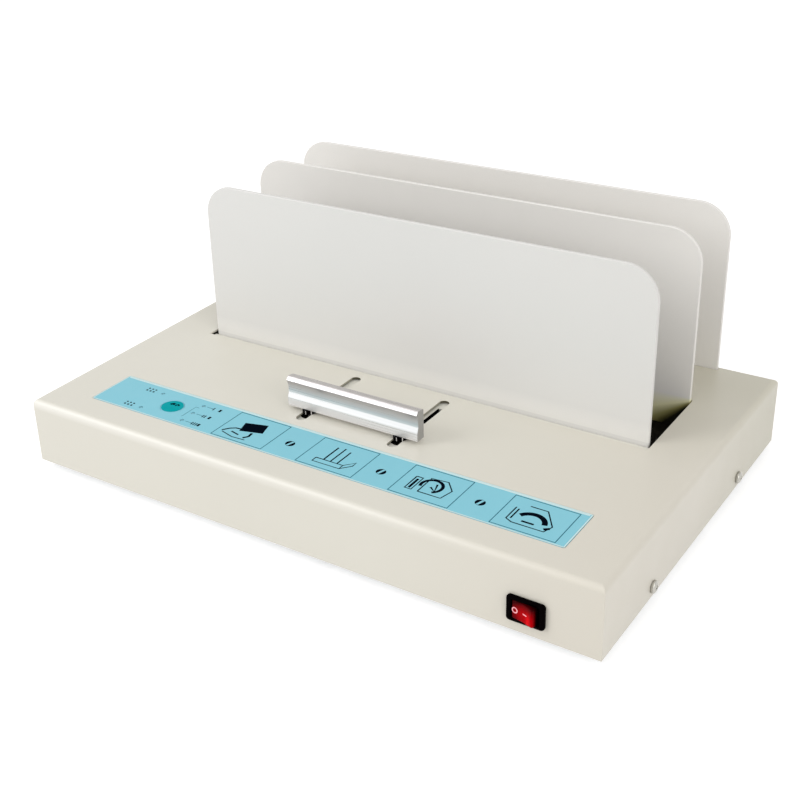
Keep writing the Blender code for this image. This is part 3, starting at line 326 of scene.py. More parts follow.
# %% A finish that grows node by node
class Finish:
    """A material made of noise, masks and mixes in front of one Principled shader."""

    def __init__(self, name, colour, roughness, metallic=0.0):
        self.material = bpy.data.materials.new(name)
        self.material.use_nodes = True
        self.material.diffuse_color = colour
        self.nodes = self.material.node_tree.nodes
        self.shader = self.nodes["Principled BSDF"]
        self.height = None
        self.parts = None
        self.set("Base Color", colour)
        self.set("Roughness", roughness)
        self.set("Metallic", metallic)
        self.place = self.nodes.new("ShaderNodeTexCoord").outputs["Object"]

    def set(self, socket, value):
        self.shader.inputs[socket].default_value = value

    def wire(self, source, target):
        """Feeds a socket from another node's output, or with a plain value."""
        if isinstance(source, (int, float, tuple)):
            target.default_value = source
        else:
            self.material.node_tree.links.new(source, target)

    def stretched(self, stretch, turn=(0, 0, 0)):
        mapping = self.nodes.new("ShaderNodeMapping")
        mapping.inputs["Scale"].default_value = stretch
        mapping.inputs["Rotation"].default_value = turn
        self.wire(self.place, mapping.inputs["Vector"])
        return mapping.outputs[0]

    def grain(self, scale, detail=2.0, stretch=None, turn=(0, 0, 0)):
        """Noise of that scale, from 0 to 1."""
        noise = self.nodes.new("ShaderNodeTexNoise")
        noise.inputs["Scale"].default_value = scale
        noise.inputs["Detail"].default_value = detail
        place = self.stretched(stretch, turn) if stretch else self.place
        self.wire(place, noise.inputs["Vector"])
        return noise.outputs[0]

    def cells(self, scale, output="Color", stretch=None):
        pattern = self.nodes.new("ShaderNodeTexVoronoi")
        pattern.inputs["Scale"].default_value = scale
        place = self.stretched(stretch) if stretch else self.place
        self.wire(place, pattern.inputs["Vector"])
        return pattern.outputs[output]

    def ranged(self, source, low, high, start=0.0, end=1.0):
        """Source, stretched so that start gives low and end gives high."""
        remap = self.nodes.new("ShaderNodeMapRange")
        for name, value in (
            ("Value", source),
            ("From Min", start),
            ("From Max", end),
            ("To Min", low),
            ("To Max", high),
        ):
            self.wire(value, remap.inputs[name])
        return remap.outputs[0]

    def axes(self):
        """The piece's own X, Y and Z."""
        if not self.parts:
            split = self.nodes.new("ShaderNodeSeparateXYZ")
            self.wire(self.place, split.inputs[0])
            self.parts = list(split.outputs)
        return self.parts

    def along(self, way, start, end, low=0.0, high=1.0):
        """Goes from low to high between two places, in this script's millimetres."""
        axis = ("across", "back", "up").index(way)
        zero = front_y if way == "back" else 0.0
        return self.ranged(self.axes()[axis], low, high, zero + start * mm, zero + end * mm)

    def maths(self, operation, *values):
        node = self.nodes.new("ShaderNodeMath")
        node.operation = operation
        for value, target in zip(values, node.inputs):
            self.wire(value, target)
        return node.outputs[0]

    def multiplied(self, first, *others):
        total = first
        for other in others:
            total = self.maths("MULTIPLY", total, other)
        return total

    def mixed(self, share, colour, other):
        """A colour that goes from the first to the second with share."""
        mix = self.nodes.new("ShaderNodeMix")
        mix.data_type = "RGBA"
        # A Mix node has sockets for every kind of data: 0, 6, 7 and 2 are those for colours.
        for value, target in ((share, 0), (colour, 6), (other, 7)):
            self.wire(value, mix.inputs[target])
        return mix.outputs[2]

    def ramp(self, share, stops):
        """Colours at given shares of the way, in order, with smooth steps between them."""
        node = self.nodes.new("ShaderNodeValToRGB")
        self.wire(share, node.inputs[0])
        marks = node.color_ramp.elements
        # A new ramp has two marks already. They become the first and the last one.
        marks[0].position, marks[0].color = stops[0]
        marks[1].position, marks[1].color = stops[-1]
        for where, colour in stops[1:-1]:
            marks.new(where).color = colour
        return node.outputs[0]

    def paint(self, source):
        self.wire(source, self.shader.inputs["Base Color"])

    def rough(self, source, low, high, start=0.25, end=0.75):
        self.wire(self.ranged(source, low, high, start, end), self.shader.inputs["Roughness"])

    def bump(self, source, depth_mm, strength=1.0):
        """Adds relief on top of the relief that is there already."""
        relief = self.nodes.new("ShaderNodeBump")
        relief.inputs["Strength"].default_value = strength
        relief.inputs["Distance"].default_value = depth_mm * mm
        self.wire(source, relief.inputs["Height"])
        if self.height:
            self.wire(self.height, relief.inputs["Normal"])
        self.height = relief.outputs[0]
        self.wire(self.height, self.shader.inputs["Normal"])


# %% A finish of two tones
def two_toned(
    name, colour, tones, noise, roughness,
    rough_noise=None, relief=None, metallic=0.0, shine=None,
):
    """A finish that drifts between two tones.

    A noise is its scale and detail, and relief is a noise, a depth in millimetres and a
    strength. Without a noise of its own, the roughness follows the tones.
    """
    finish = Finish(name, colour, sum(roughness) / 2, metallic)
    patches = finish.grain(*noise)
    finish.paint(finish.mixed(patches, *tones))
    finish.rough(finish.grain(*rough_noise) if rough_noise else patches, *roughness)
    if relief:
        scale, detail, depth_mm, strength = relief
        finish.bump(finish.grain(scale, detail), depth_mm, strength)
    if shine is not None:
        finish.set("Specular IOR Level", shine)
    return finish.material


# %% [markdown]
# ## Powder coat
#
# The case and the plates are steel sheet, powder coated. The powder melts
# into a skin with a fine orange peel, slightly thicker here and there, with
# tiny darker specks. Three noises do it: a coarse one for colour, a fine one
# for the peel and a thresholded one for the specks. The plates are a cooler
# white than the case.
#
# Light and shade are painted into some of the coats. The case's front bend
# has a painted highlight, and its rear and right parts have painted shade.
# The clamp plate has painted light along its foot, and the middle plate has
# painted shade, yellowish and then black, down into the well. Masks that run
# along the piece's own axes mix these colours in. A painted picture could
# hold them too, but it would need a file and a UV map.


# %% Powder coat
def powder_coat(name, colour, roughness, peel_mm, gloss=0.0, painted_light=None):
    coat = Finish(name, colour, roughness)
    drift = coat.grain(9, 3)
    # Only the highest peaks of this noise become specks.
    speck = coat.ranged(coat.grain(2600, 1), 0, 1, 0.70, 0.78)
    base = coat.mixed(drift, toned(colour, 0.975), toned(colour, 1.02))
    # Light and shade painted into the coat's colour, where a piece has them.
    if painted_light:
        base = painted_light(coat, base)
    coat.paint(coat.mixed(speck, base, toned(colour, 0.86)))
    coat.rough(coat.grain(60, 4), roughness - 0.05, roughness + 0.05)
    coat.bump(coat.grain(420, 2), peel_mm, 0.35)
    coat.bump(coat.grain(1500, 2), peel_mm / 3, 0.30)
    coat.set("Specular IOR Level", 0.45)
    coat.set("Coat Weight", gloss)
    coat.set("Coat Roughness", 0.32)
    return coat.material


def case_painted_light(coat, base):
    """Paints a highlight on the front bend, and shade on the rear and the right parts."""
    # Painted highlight along the front bend.
    bend = coat.multiplied(
        coat.along("back", 0.4, 2.8, 0.55, 0),
        coat.along("up", case_top - 6.6, case_top - 3.6),
        coat.along("across", -case_half, 150, 1, 0.25),
    )
    with_bend_highlight = coat.mixed(bend, base, shown(242, 240, 234))
    # Painted shade on the rear part, darker still towards the right.
    rear = coat.along("back", 120, 225)
    rear_shaded = coat.mixed(rear, with_bend_highlight, shown(205, 201, 186))
    right_shaded = coat.mixed(rear, shown(212, 207, 195), shown(199, 195, 179))
    return coat.mixed(coat.along("across", 60, case_half), rear_shaded, right_shaded)


def clamp_foot_painted_light(coat, base):
    """Paints light on the plate's lower part, which the case's top shades."""
    foot = coat.along("up", case_top, case_top + 12, 0.6, 0)
    # In the last half millimetre over the case the painted light falls off, so a thin shade line
    # stays at the foot.
    edge = coat.along("up", case_top + 0.1, case_top + 0.6, 0.3, 1)
    return coat.mixed(coat.multiplied(foot, edge), base, shown(243, 241, 236))


case_coat = powder_coat(
    "case_powder_coat", shown(216, 213, 202), 0.40, 0.030, gloss=0.23, painted_light=case_painted_light
)
clamp_coat = powder_coat(
    "clamp_powder_coat", shown(219, 218, 215), 0.38, 0.022, painted_light=clamp_foot_painted_light
)
plate_white = shown(232, 230, 226)
plate_coat = powder_coat("plate_powder_coat", plate_white, 0.38, 0.022)
slide_coat = powder_coat("slide_plate_coat", shown(218, 216, 206), 0.45, 0.022)
# Painted shade: the stud slots' rear ends and cut edges are coloured darker for the shade that
# lies in them.
slot_end_shade = powder_coat("slot_end_painted_shade", shown(84, 80, 62), 0.55, 0.030)
cut_edge_shade = powder_coat("cut_edge_painted_shade", shown(160, 157, 141), 0.50, 0.030)
inside_coat = powder_coat("thin_inside_primer", shown(112, 108, 98), 0.60, 0.020)
print("powder coats: case, clamp, plates, slide plate, slot ends, cut edges, primer inside")

# %% Coat with painted shade from the well
# Where the painted shade starts, and how high its black part climbs, in millimetres.
shade_top = 51
black_shade_top_in_middle, black_shade_top_at_ends = 21, 46
black_shade_rise_start, black_shade_rise_end = 130, 155


def well_shaded_coat(name):
    """The plates' coat with painted shade: yellowish below a height, and black lower down in the
    well.
    """
    coat = Finish(name, plate_white, 0.40)
    across, _back, up = coat.axes()
    # The painted black shade climbs towards the plate's two ends, where the well's walls shade it.
    black_z = coat.ranged(
        coat.maths("ABSOLUTE", across),
        black_shade_top_in_middle * mm, black_shade_top_at_ends * mm,
        black_shade_rise_start * mm, black_shade_rise_end * mm,
    )
    shade_share = coat.ranged(up, 0, 1, shade_top * mm, black_z)
    shade_colour = coat.ramp(shade_share, [
        (0.0, plate_white),
        (0.16, shown(235, 233, 212)),
        (0.38, shown(234, 231, 190)),
        (0.66, shown(165, 160, 105)),
        (0.84, shown(105, 100, 55)),
        (1.0, shown(14, 12, 4)),
    ])
    smoked = coat.mixed(0.06, shade_colour, shown(150, 146, 120))
    coat.paint(coat.mixed(coat.grain(14, 3), shade_colour, smoked))
    coat.rough(coat.grain(60, 4), 0.36, 0.46)
    coat.bump(coat.grain(420, 2), 0.022, 0.35)
    coat.set("Specular IOR Level", 0.35)
    return coat.material


plate_coats = {
    "front_plate": clamp_coat,
    "middle_plate": well_shaded_coat("well_shade_painted_coat"),
    "back_plate": plate_coat,
}
# The middle plate's yellow and black are painted shade from the well.
print(f"middle plate: yellowed from {shade_top} mm down")

# %% [markdown]
# ## Metals
#
# The pull bar is drawn through a die, which leaves lines along its length,
# and its ends are sawn. Its curved face mirrors other parts of the studio,
# so it looks unlike at each height: a ramp over its height paints that
# reflection and shade into its colour. The screws are nickel-plated and
# turned, and those at the sides have dulled. The base is zinc-plated sheet
# with a faint crystal pattern, the heater plate has a dark coat that is
# painted darker still for the shade in the well, and the terminals are
# tinned brass. One noise stretched along the bar makes the drawn lines, and
# a noise stretched across the saw's path makes the sawn end.

# %% Drawn, sawn, rolled and heated metals
# Painted reflection and shade: how bright the bar is from its foot to its top, both as shares.
bar_painted_light_shares = [
    (0.0, 0.58), (0.25, 0.64), (0.31, 0.90), (0.44, 0.85), (0.55, 0.38),
    (0.85, 0.0), (0.89, 0.34), (0.93, 0.34), (0.98, 0.10), (1.0, 0.20),
]


def drawn_metal():
    metal = Finish("drawn_aluminium", shown(226, 227, 228), 0.30, 0.55)
    lines = metal.grain(1, 2, stretch=(14, 2600, 2600))
    wide_lines = metal.grain(1, 3, stretch=(5, 520, 520))
    bright = metal.mixed(wide_lines, shown(235, 235, 236), shown(246, 246, 246))
    low, high = node_box("handle_bar")
    stops = [(where, (share,) * 3 + (1,)) for where, share in bar_painted_light_shares]
    # The ramp paints reflection and shade into the bar's colour, darkest in the groove under the
    # lip.
    shine = metal.ramp(metal.along("up", low.z, high.z), stops)
    metal.paint(metal.mixed(shine, shown(180, 175, 174), bright))
    metal.rough(lines, 0.25, 0.36)
    metal.bump(lines, 0.005, 0.35)
    metal.bump(wide_lines, 0.006, 0.25)
    return metal.material


def sawn_metal():
    metal = Finish("sawn_aluminium", shown(164, 163, 161), 0.5, 0.7)
    cuts = metal.grain(1, 3, stretch=(300, 300, 4200), turn=(math.radians(24), 0, 0))
    metal.paint(metal.mixed(cuts, shown(160, 159, 158), shown(184, 183, 181)))
    metal.rough(cuts, 0.42, 0.62)
    metal.bump(cuts, 0.02, 0.5)
    return metal.material


def zinc_sheet():
    metal = Finish("zinc_plated_sheet", shown(196, 198, 199), 0.42, 1.0)
    grey = metal.nodes.new("ShaderNodeRGBToBW")
    metal.wire(metal.cells(85), grey.inputs[0])
    metal.paint(metal.mixed(grey.outputs[0], shown(178, 181, 183), shown(206, 208, 208)))
    metal.rough(grey.outputs[0], 0.34, 0.52)
    metal.bump(metal.grain(1, 3, stretch=(40, 900, 900)), 0.012, 0.3)
    return metal.material


# The heater plate's dark coat, painted darker still for the shade deep in the well.
def dark_heater_metal():
    metal = Finish("dark_heater_plate", shown(12, 10, 8), 0.6)
    scuffs = metal.ranged(metal.grain(1, 4, stretch=(30, 340, 340)), 0, 1, 0.6, 0.8)
    patches = metal.grain(70, 4)
    base = metal.mixed(patches, shown(5, 4, 3), shown(18, 15, 11))
    metal.paint(metal.mixed(scuffs, base, shown(36, 32, 25)))
    metal.rough(patches, 0.5, 0.7)
    metal.bump(scuffs, 0.02, 0.4)
    metal.set("Specular IOR Level", 0.04)
    return metal.material


bar_metal = drawn_metal()
bar_end_metal = sawn_metal()
zinc = zinc_sheet()
heater_metal = dark_heater_metal()
print("metals:", ", ".join(m.name for m in (bar_metal, bar_end_metal, zinc, heater_metal)))


# %% Plated metals
def plated_steel(name, dark, bright):
    return two_toned(
        name, bright, (dark, bright), (300, 3), (0.16, 0.34),
        rough_noise=(1400, 3), relief=(2400, 2, 0.010, 0.3), metallic=1.0,
    )


steel = plated_steel("nickel_plated_steel", shown(186, 185, 181), shown(214, 213, 209))
dull_steel = plated_steel("dulled_nickel", shown(170, 168, 161), shown(204, 202, 195))
brass = two_toned(
    "tinned_brass", shown(214, 190, 132), (shown(205, 168, 92), shown(216, 208, 190)),
    (500, 4), (0.22, 0.42), relief=(2200, 2, 0.008, 0.3), metallic=1.0,
)
print("plated:", ", ".join(m.name for m in (steel, dull_steel, brass)))

# %% [markdown]
# ## Plastics, rubber and print
#
# The label is a printed polyester film with a fine matt texture. The switch
# is glossy black plastic. The feet are moulded rubber, and flat black sheets
# paint the shade where the clamp runs. Printing ink is a thin layer, never
# quite even. A gloss plastic shows its age in hair scratches more than in
# colour, so its noise goes to the roughness.


# %% Film, ink, rubber and plastics
def film_finish(name, colour, shine=0.22):
    return two_toned(
        name, colour, (toned(colour, 0.965), toned(colour, 1.03)), (25, 3), (0.40, 0.52),
        rough_noise=(180, 3), relief=(3200, 1, 0.006, 0.35), shine=shine,
    )


def ink_finish(name, colour):
    return two_toned(
        name, colour, (colour, dusty(colour)), (900, 3), (0.50, 0.64),
        rough_noise=(700, 2), shine=0.0,
    )


def gloss_plastic(name, colour, roughness):
    plastic = Finish(name, colour, roughness)
    scratches = plastic.grain(1, 3, stretch=(2400, 160, 700), turn=(0.3, 0.5, 0.4))
    dust = plastic.ranged(plastic.grain(1300, 3), 0, 1, 0.60, 0.80)
    plastic.paint(plastic.mixed(dust, colour, dusty(colour)))
    plastic.rough(scratches, roughness - 0.06, roughness + 0.12)
    plastic.bump(plastic.grain(900, 2), 0.006, 0.25)
    plastic.set("Specular IOR Level", 0.01)
    return plastic.material


label_film = film_finish("label_film", shown(132, 198, 214))
label_rim = film_finish("label_rim", shown(204, 226, 226))
key_film = film_finish("key_film", shown(0, 157, 164), 0.02)
dark_ink = ink_finish("navy_ink", shown(2, 8, 20))
line_ink = ink_finish("teal_line_ink", shown(34, 92, 108))
mark_ink = ink_finish("switch_mark_ink", shown(255, 168, 176))
# A flat black for sheets and washers that paint shade where they lie.
black_shade_sheet = ink_finish("black_shade_sheet", shown(3, 3, 2))
black_gloss = gloss_plastic("gloss_black", shown(3, 1, 2), 0.22)
black_satin = gloss_plastic("satin_black", shown(18, 18, 19), 0.42)
rubber = two_toned(
    "moulded_rubber", shown(34, 34, 35), (shown(26, 26, 27), shown(52, 51, 50)),
    (220, 4), (0.74, 0.92), relief=(1500, 3, 0.03, 0.5),
)
lamp_resin = two_toned(
    "lamp_resin", shown(122, 180, 194), (shown(110, 168, 184), shown(134, 190, 202)),
    (900, 2), (0.20, 0.32), rough_noise=(1800, 2), shine=0.25,
)
print("films, inks, felt, plastics, rubber and lamp resin made")

# %% [markdown]
# ### The rocker's red
#
# The rocker is moulded in a red that light goes a little way into. Light
# and shade are painted into that red: a painted pool of light where the
# lamps reach it, a painted highlight along a ridge in its middle, and
# painted shade towards its rims, in one lower corner and deep in the switch.
# A shader that lets light through would show this by itself, but slowly and
# with noise in the picture. Masks in front of a plain shader give the same
# look.

# %% Tinted red
# Where the painted highlight and the painted pool of light lie, in millimetres.
ridge_across = 152.3
light_pool_middle = (150.6, -3.0, 18.0)
light_pool_reach = (9.5, 20, 7.6)


def red_finish():
    """Tinted plastic with painted light: a highlight on the ridge, and shade at the rims, in a
    lower corner and deeper under its face.
    """
    red = Finish("tinted_red", shown(176, 0, 8), 0.24)
    cloud = red.mixed(red.grain(240, 2), shown(166, 0, 6), shown(190, 0, 12))
    # A Mapping of the texture type centres the pattern on the painted pool of light and divides by
    # its reach.
    lit = red.nodes.new("ShaderNodeMapping")
    lit.vector_type = "TEXTURE"
    lit.inputs["Location"].default_value = spot(*light_pool_middle)
    lit.inputs["Scale"].default_value = Vector(light_pool_reach) * mm
    red.wire(red.place, lit.inputs["Vector"])
    away = red.nodes.new("ShaderNodeVectorMath")
    away.operation = "LENGTH"
    red.wire(lit.outputs[0], away.inputs[0])
    # Painted shade towards the rims, a painted highlight along the ridge, and painted shade in one
    # lower corner.
    edge = red.ranged(away.outputs["Value"], 0, 0.95, 0.40, 1.10)
    ridge = red.multiplied(
        red.along("across", ridge_across - 1.2, ridge_across - 0.2),
        red.along("across", ridge_across + 0.6, ridge_across + 1.8, 1, 0),
        red.along("up", 19.0, 23.0, 1, 0.2),
    )
    corner = red.multiplied(
        red.along("across", ridge_across - 7.5, ridge_across - 2.0, 0.75, 0),
        red.along("up", 15.5, 20.5, 1, 0),
    )
    with_ridge_highlight = red.mixed(ridge, cloud, shown(222, 12, 24))
    with_painted_shade = red.mixed(edge, red.mixed(corner, with_ridge_highlight, shown(64, 0, 14)), shown(40, 0, 3))
    # The rocker's mesh carries this attribute: 0 on its face and 1 deep in the switch, where it
    # paints shade into the red.
    depth = red.nodes.new("ShaderNodeAttribute")
    depth.attribute_name = "depth"
    red.paint(red.mixed(depth.outputs["Fac"], with_painted_shade, shown(18, 0, 1)))
    red.rough(red.grain(800, 2), 0.18, 0.30)
    red.bump(red.grain(1200, 2), 0.006, 0.25)
    red.set("Specular IOR Level", 0.02)
    return red.material


red_tinted = red_finish()
print("rocker's red: brightest along", ridge_across, "mm across")

# %% [markdown]
# ## Finishes inside the case
#
# Through the well and from below, some of the inside can be seen: circuit
# boards, nylon spacers, the mica-wrapped heating strips, the laminated core
# of the transformer and the relay. A brick pattern makes the straight tracks
# of a board, and fine waves make the core's laminations.


# %% Inside finishes
def board_finish():
    board = Finish("solder_mask_green", shown(20, 92, 52), 0.35)
    tracks = board.nodes.new("ShaderNodeTexBrick")
    tracks.inputs["Scale"].default_value = 260
    tracks.inputs["Mortar Size"].default_value = 0.06
    tracks.inputs["Color1"].default_value = shown(18, 84, 46)
    tracks.inputs["Color2"].default_value = shown(22, 98, 56)
    tracks.inputs["Mortar"].default_value = shown(46, 130, 84)
    board.wire(board.place, tracks.inputs["Vector"])
    board.paint(tracks.outputs["Color"])
    board.bump(tracks.outputs["Fac"], 0.03, 0.4)
    board.rough(board.grain(400, 2), 0.28, 0.42)
    return board.material


def mica_finish():
    mica = Finish("mica_wrap", shown(178, 166, 140), 0.5)
    flakes = mica.cells(420, output="Distance", stretch=(0.4, 1, 1))
    mica.paint(mica.mixed(flakes, shown(196, 184, 156), shown(146, 128, 98)))
    mica.rough(flakes, 0.36, 0.62, 0, 1)
    mica.bump(flakes, 0.03, 0.4)
    return mica.material


def core_finish():
    core = Finish("laminated_core", shown(92, 84, 78), 0.55, 0.6)
    leaves = core.nodes.new("ShaderNodeTexWave")
    leaves.wave_type = "BANDS"
    leaves.bands_direction = "Y"
    leaves.inputs["Scale"].default_value = 620
    leaves.inputs["Distortion"].default_value = 0.6
    core.wire(core.place, leaves.inputs["Vector"])
    core.paint(core.mixed(leaves.outputs["Fac"], shown(62, 56, 52), shown(120, 110, 100)))
    core.bump(leaves.outputs["Fac"], 0.05, 0.5)
    core.rough(core.grain(300, 2), 0.42, 0.66)
    return core.material


def moulded(name, colour, roughness):
    return two_toned(
        name, colour, (toned(colour, 0.92), toned(colour, 1.06)),
        (120, 3), (roughness - 0.07, roughness + 0.07),
        rough_noise=(500, 3), relief=(1600, 2, 0.01, 0.35),
    )


board_green = board_finish()
mica = mica_finish()
core = core_finish()
nylon = moulded("natural_nylon", shown(226, 222, 208), 0.5)
relay_blue = moulded("relay_case", shown(38, 78, 150), 0.4)
print("inside:", ", ".join(m.name for m in (board_green, mica, core, nylon, relay_blue)))

# %% [markdown]
# ## Shaping tools
#
# Every new piece starts as a small bmesh: a box, a flat sheet that is
# extruded, or a half section that is spun round an axis. Its edges are then
# softened with a bevel, because no real edge is perfectly sharp and the soft
# edge is what catches the light. A piece is drawn lying at the origin and
# then carried to its place, so that its object stays at the origin.


# %% Bevels
def bevelled(shape, what, radius, steps, affect):
    bmesh.ops.bevel(
        shape, geom=what, offset=radius * mm, offset_type="OFFSET",
        affect=affect, segments=steps, profile=0.5, material=-1, clamp_overlap=True,
    )
    return shape


def round_corners(shape, corners, radius, steps):
    return bevelled(shape, corners, radius, steps, "VERTICES")


def round_edges(shape, edges, radius, steps=3):
    return bevelled(shape, edges, radius, steps, "EDGES")


def sharp_edges(shape, degrees):
    """The edges where the surface turns by more than that."""
    limit = math.radians(degrees)
    return [e for e in shape.edges if len(e.link_faces) == 2 and e.calc_face_angle(0) > limit]


def soften(shape, radius, steps=2, degrees=30.0):
    return round_edges(shape, sharp_edges(shape, degrees), radius, steps)


def edges_above(shape, height):
    """The edges that lie wholly higher than that, in millimetres."""
    return [e for e in shape.edges if all(v.co.z > height * mm for v in e.verts)]


def upright_edges(shape):
    """The edges that go up through a sheet's thickness."""
    return [e for e in shape.edges if abs(e.verts[0].co.z - e.verts[1].co.z) > 0.1 * mm]


# %% Boxes and sheets
def box_shape(low, high):
    """A closed box between two corners, given with spot()."""
    shape = bmesh.new()
    bmesh.ops.create_cube(shape, size=1)
    bmesh.ops.scale(shape, vec=high - low, verts=shape.verts)
    bmesh.ops.translate(shape, vec=(low + high) / 2, verts=shape.verts)
    return shape


def flat_face(width, height):
    """One flat face on the XY plane, centred on the origin."""
    shape = bmesh.new()
    bmesh.ops.create_grid(shape, x_segments=1, y_segments=1, size=0.5)
    bmesh.ops.scale(shape, vec=(width * mm, height * mm, 1), verts=shape.verts)
    return shape


def thicken(shape, thickness):
    """Gives a flat shape on the XY plane a thickness upwards."""
    grown = bmesh.ops.extrude_face_region(shape, geom=shape.faces[:])
    top = [v for v in grown["geom"] if isinstance(v, bmesh.types.BMVert)]
    bmesh.ops.translate(shape, vec=(0, 0, thickness * mm), verts=top)
    bmesh.ops.recalc_face_normals(shape, faces=shape.faces)
    return shape


def rounded_sheet(width, height, thickness, radius=0.0, steps=6):
    """A sheet centred on the origin, its back on the XY plane, with round corners."""
    shape = flat_face(width, height)
    if radius:
        round_corners(shape, shape.verts[:], radius, steps)
    return thicken(shape, thickness)


def outlined_sheet(outline, thickness):
    """A sheet with the given outline of a few corners, in millimetres."""
    shape = bmesh.new()
    shape.faces.new([shape.verts.new((x * mm, y * mm, 0)) for x, y in outline])
    return thicken(shape, thickness)


def only_rim(shape, line):
    """Leaves a flat face only as a line of that width along its rim."""
    face = shape.faces[:]
    bmesh.ops.inset_region(shape, faces=face, thickness=line * mm, use_boundary=True)
    bmesh.ops.delete(shape, geom=face, context="FACES_ONLY")
    return shape


# %% Round shapes
def lathe(profile, steps=48):
    """A half section, given as (radius, height) in millimetres, spun round Z."""
    shape = bmesh.new()
    points = [shape.verts.new((radius * mm, 0, height * mm)) for radius, height in profile]
    edges = [shape.edges.new(pair) for pair in zip(points, points[1:])]
    bmesh.ops.spin(
        shape, geom=points + edges, cent=(0, 0, 0), axis=(0, 0, 1),
        angle=math.tau, steps=steps, use_merge=True,
    )
    bmesh.ops.remove_doubles(shape, verts=shape.verts, dist=0.001 * mm)
    bmesh.ops.recalc_face_normals(shape, faces=shape.faces)
    return shape


def arc(centre_x, centre_y, radius, start, end, steps):
    points = []
    for i in range(steps + 1):
        angle = math.radians(start + (end - start) * i / steps)
        points.append((centre_x + radius * math.cos(angle), centre_y + radius * math.sin(angle)))
    return points


def regular_outline(sides, reach, turn=0.0):
    """The corners of a regular polygon, turned by that many degrees."""
    return arc(0, 0, reach, turn, turn + 360, sides)[:-1]


# %% Facing
views = {
    "top": ((1, 0, 0), (0, 1, 0)),
    "front": ((1, 0, 0), (0, 0, 1)),
    "back": ((-1, 0, 0), (0, 0, 1)),
    "right": ((0, 1, 0), (0, 0, 1)),
    "left": ((0, -1, 0), (0, 0, 1)),
    "below": ((1, 0, 0), (0, -1, 0)),
}


def facing(side, place):
    """Carries a shape drawn on XY to a place, with its +Z out of that side."""
    across, up = (Vector(v) for v in views[side])
    turn = Matrix((across, up, across.cross(up))).transposed()
    return Matrix.Translation(place) @ turn.to_4x4()


def put(shape, matrix):
    bmesh.ops.transform(shape, matrix=matrix, verts=shape.verts)
    return shape


print("a shape can face", ", ".join(views))


# %% Cutting
def as_object(shape, name="blank"):
    return linked(name, as_mesh(shape, name))


def settled(blank, helpers=()):
    """The object's final shape, modifiers and all, as a bmesh. The object is removed."""
    graph = bpy.context.evaluated_depsgraph_get()
    mesh = bpy.data.meshes.new_from_object(blank.evaluated_get(graph))
    shape = bmesh.new()
    shape.from_mesh(mesh)
    bpy.data.meshes.remove(mesh)
    for thing in (blank, *helpers):
        bpy.data.batch_remove((thing, thing.data))
    return shape


def cut_out(shape, cutters, operation="DIFFERENCE"):
    """The shape with each cutter's space taken out, or added for a UNION."""
    blank = as_object(shape)
    helpers = []
    for cutter in cutters:
        helper = as_object(cutter, "cutter")
        boolean = blank.modifiers.new("cut", "BOOLEAN")
        boolean.operation = operation
        boolean.solver = "EXACT"
        boolean.object = helper
        helpers.append(helper)
    return settled(blank, helpers)


# %% Finished pieces
def make_piece(name, shape, finishes, body="housing", stands_for=(), degrees=30.0):
    """Turns a shape into a piece that rides on a CAD body."""
    bmesh.ops.recalc_face_normals(shape, faces=shape.faces)
    mesh = as_mesh(shape, name)
    for finish in finishes if isinstance(finishes, (list, tuple)) else [finishes]:
        mesh.materials.append(finish)
    mesh.shade_smooth()
    mesh.set_sharp_from_angle(angle=math.radians(degrees))
    piece = linked(name, mesh)
    shading = piece.modifiers.new("even_shading", "WEIGHTED_NORMAL")
    shading.keep_sharp = True
    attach(piece, body)
    if stands_for:
        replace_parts(piece, *stands_for)
    print(f"{name}: {len(mesh.polygons)} faces on {body}")
    return piece


# %% [markdown]
# ## The case
#
# The real case is one sheet of 1.2 mm steel, folded down at its four sides,
# with a soft 3.5 mm bend. The openings are punched before it is folded and
# coated. Here a box loses its floor, its upper edges are rounded, and a
# Solidify modifier gives it the sheet's thickness inwards, so that the bend
# keeps one thickness. Booleans then punch the openings, and a small bevel
# gives every punched rim the roundness that the paint has there.

# %% Folded sheet
sheet = 1.2
bend_radius = 3.5
corner_seam_radius = 0.8


def on_corner_seam(point):
    """True on the outer line where two of the folded sides meet."""
    across = case_half - abs(point.x) / mm
    back = (point.y - front_y) / mm
    back = min(back, case_depth - back)
    below = case_top - point.z / mm
    if abs(across - back) > 0.01:
        return False
    if below > bend_radius - 0.01:
        return across < 0.01
    return abs(math.hypot(bend_radius - across, bend_radius - below) - bend_radius) < 0.05


def folded_case():
    low = spot(-case_half, 0, case_low.z / mm)
    high = spot(case_half, case_depth, case_top)
    shape = box_shape(low, high)
    under = [f for f in shape.faces if f.normal.z < -0.5]
    bmesh.ops.delete(shape, geom=under, context="FACES_ONLY")
    round_edges(shape, edges_above(shape, case_top / 2), bend_radius, 8)
    blank = as_object(shape, "case_blank")
    wall = blank.modifiers.new("sheet", "SOLIDIFY")
    wall.thickness = sheet * mm
    wall.offset = -1
    wall.use_even_offset = True
    wall.use_rim = True
    shape = settled(blank)
    seams = [e for e in shape.edges if all(on_corner_seam(v.co) for v in e.verts)]
    return round_edges(shape, seams, corner_seam_radius, 4)


case_shape = folded_case()
print("folded case:", len(case_shape.faces), "faces before the openings")

# %% [markdown]
# ### Openings
#
# Each opening follows the node that sits in it: the key, the lamps, the
# label, the studs, the switch, the inlet and every screw. So their places
# are read from the frame, and the sizes of the openings are typed here with
# a little room round each part.

# %% What sits in the openings
inlet_high = node_box("power_inlet")[1]
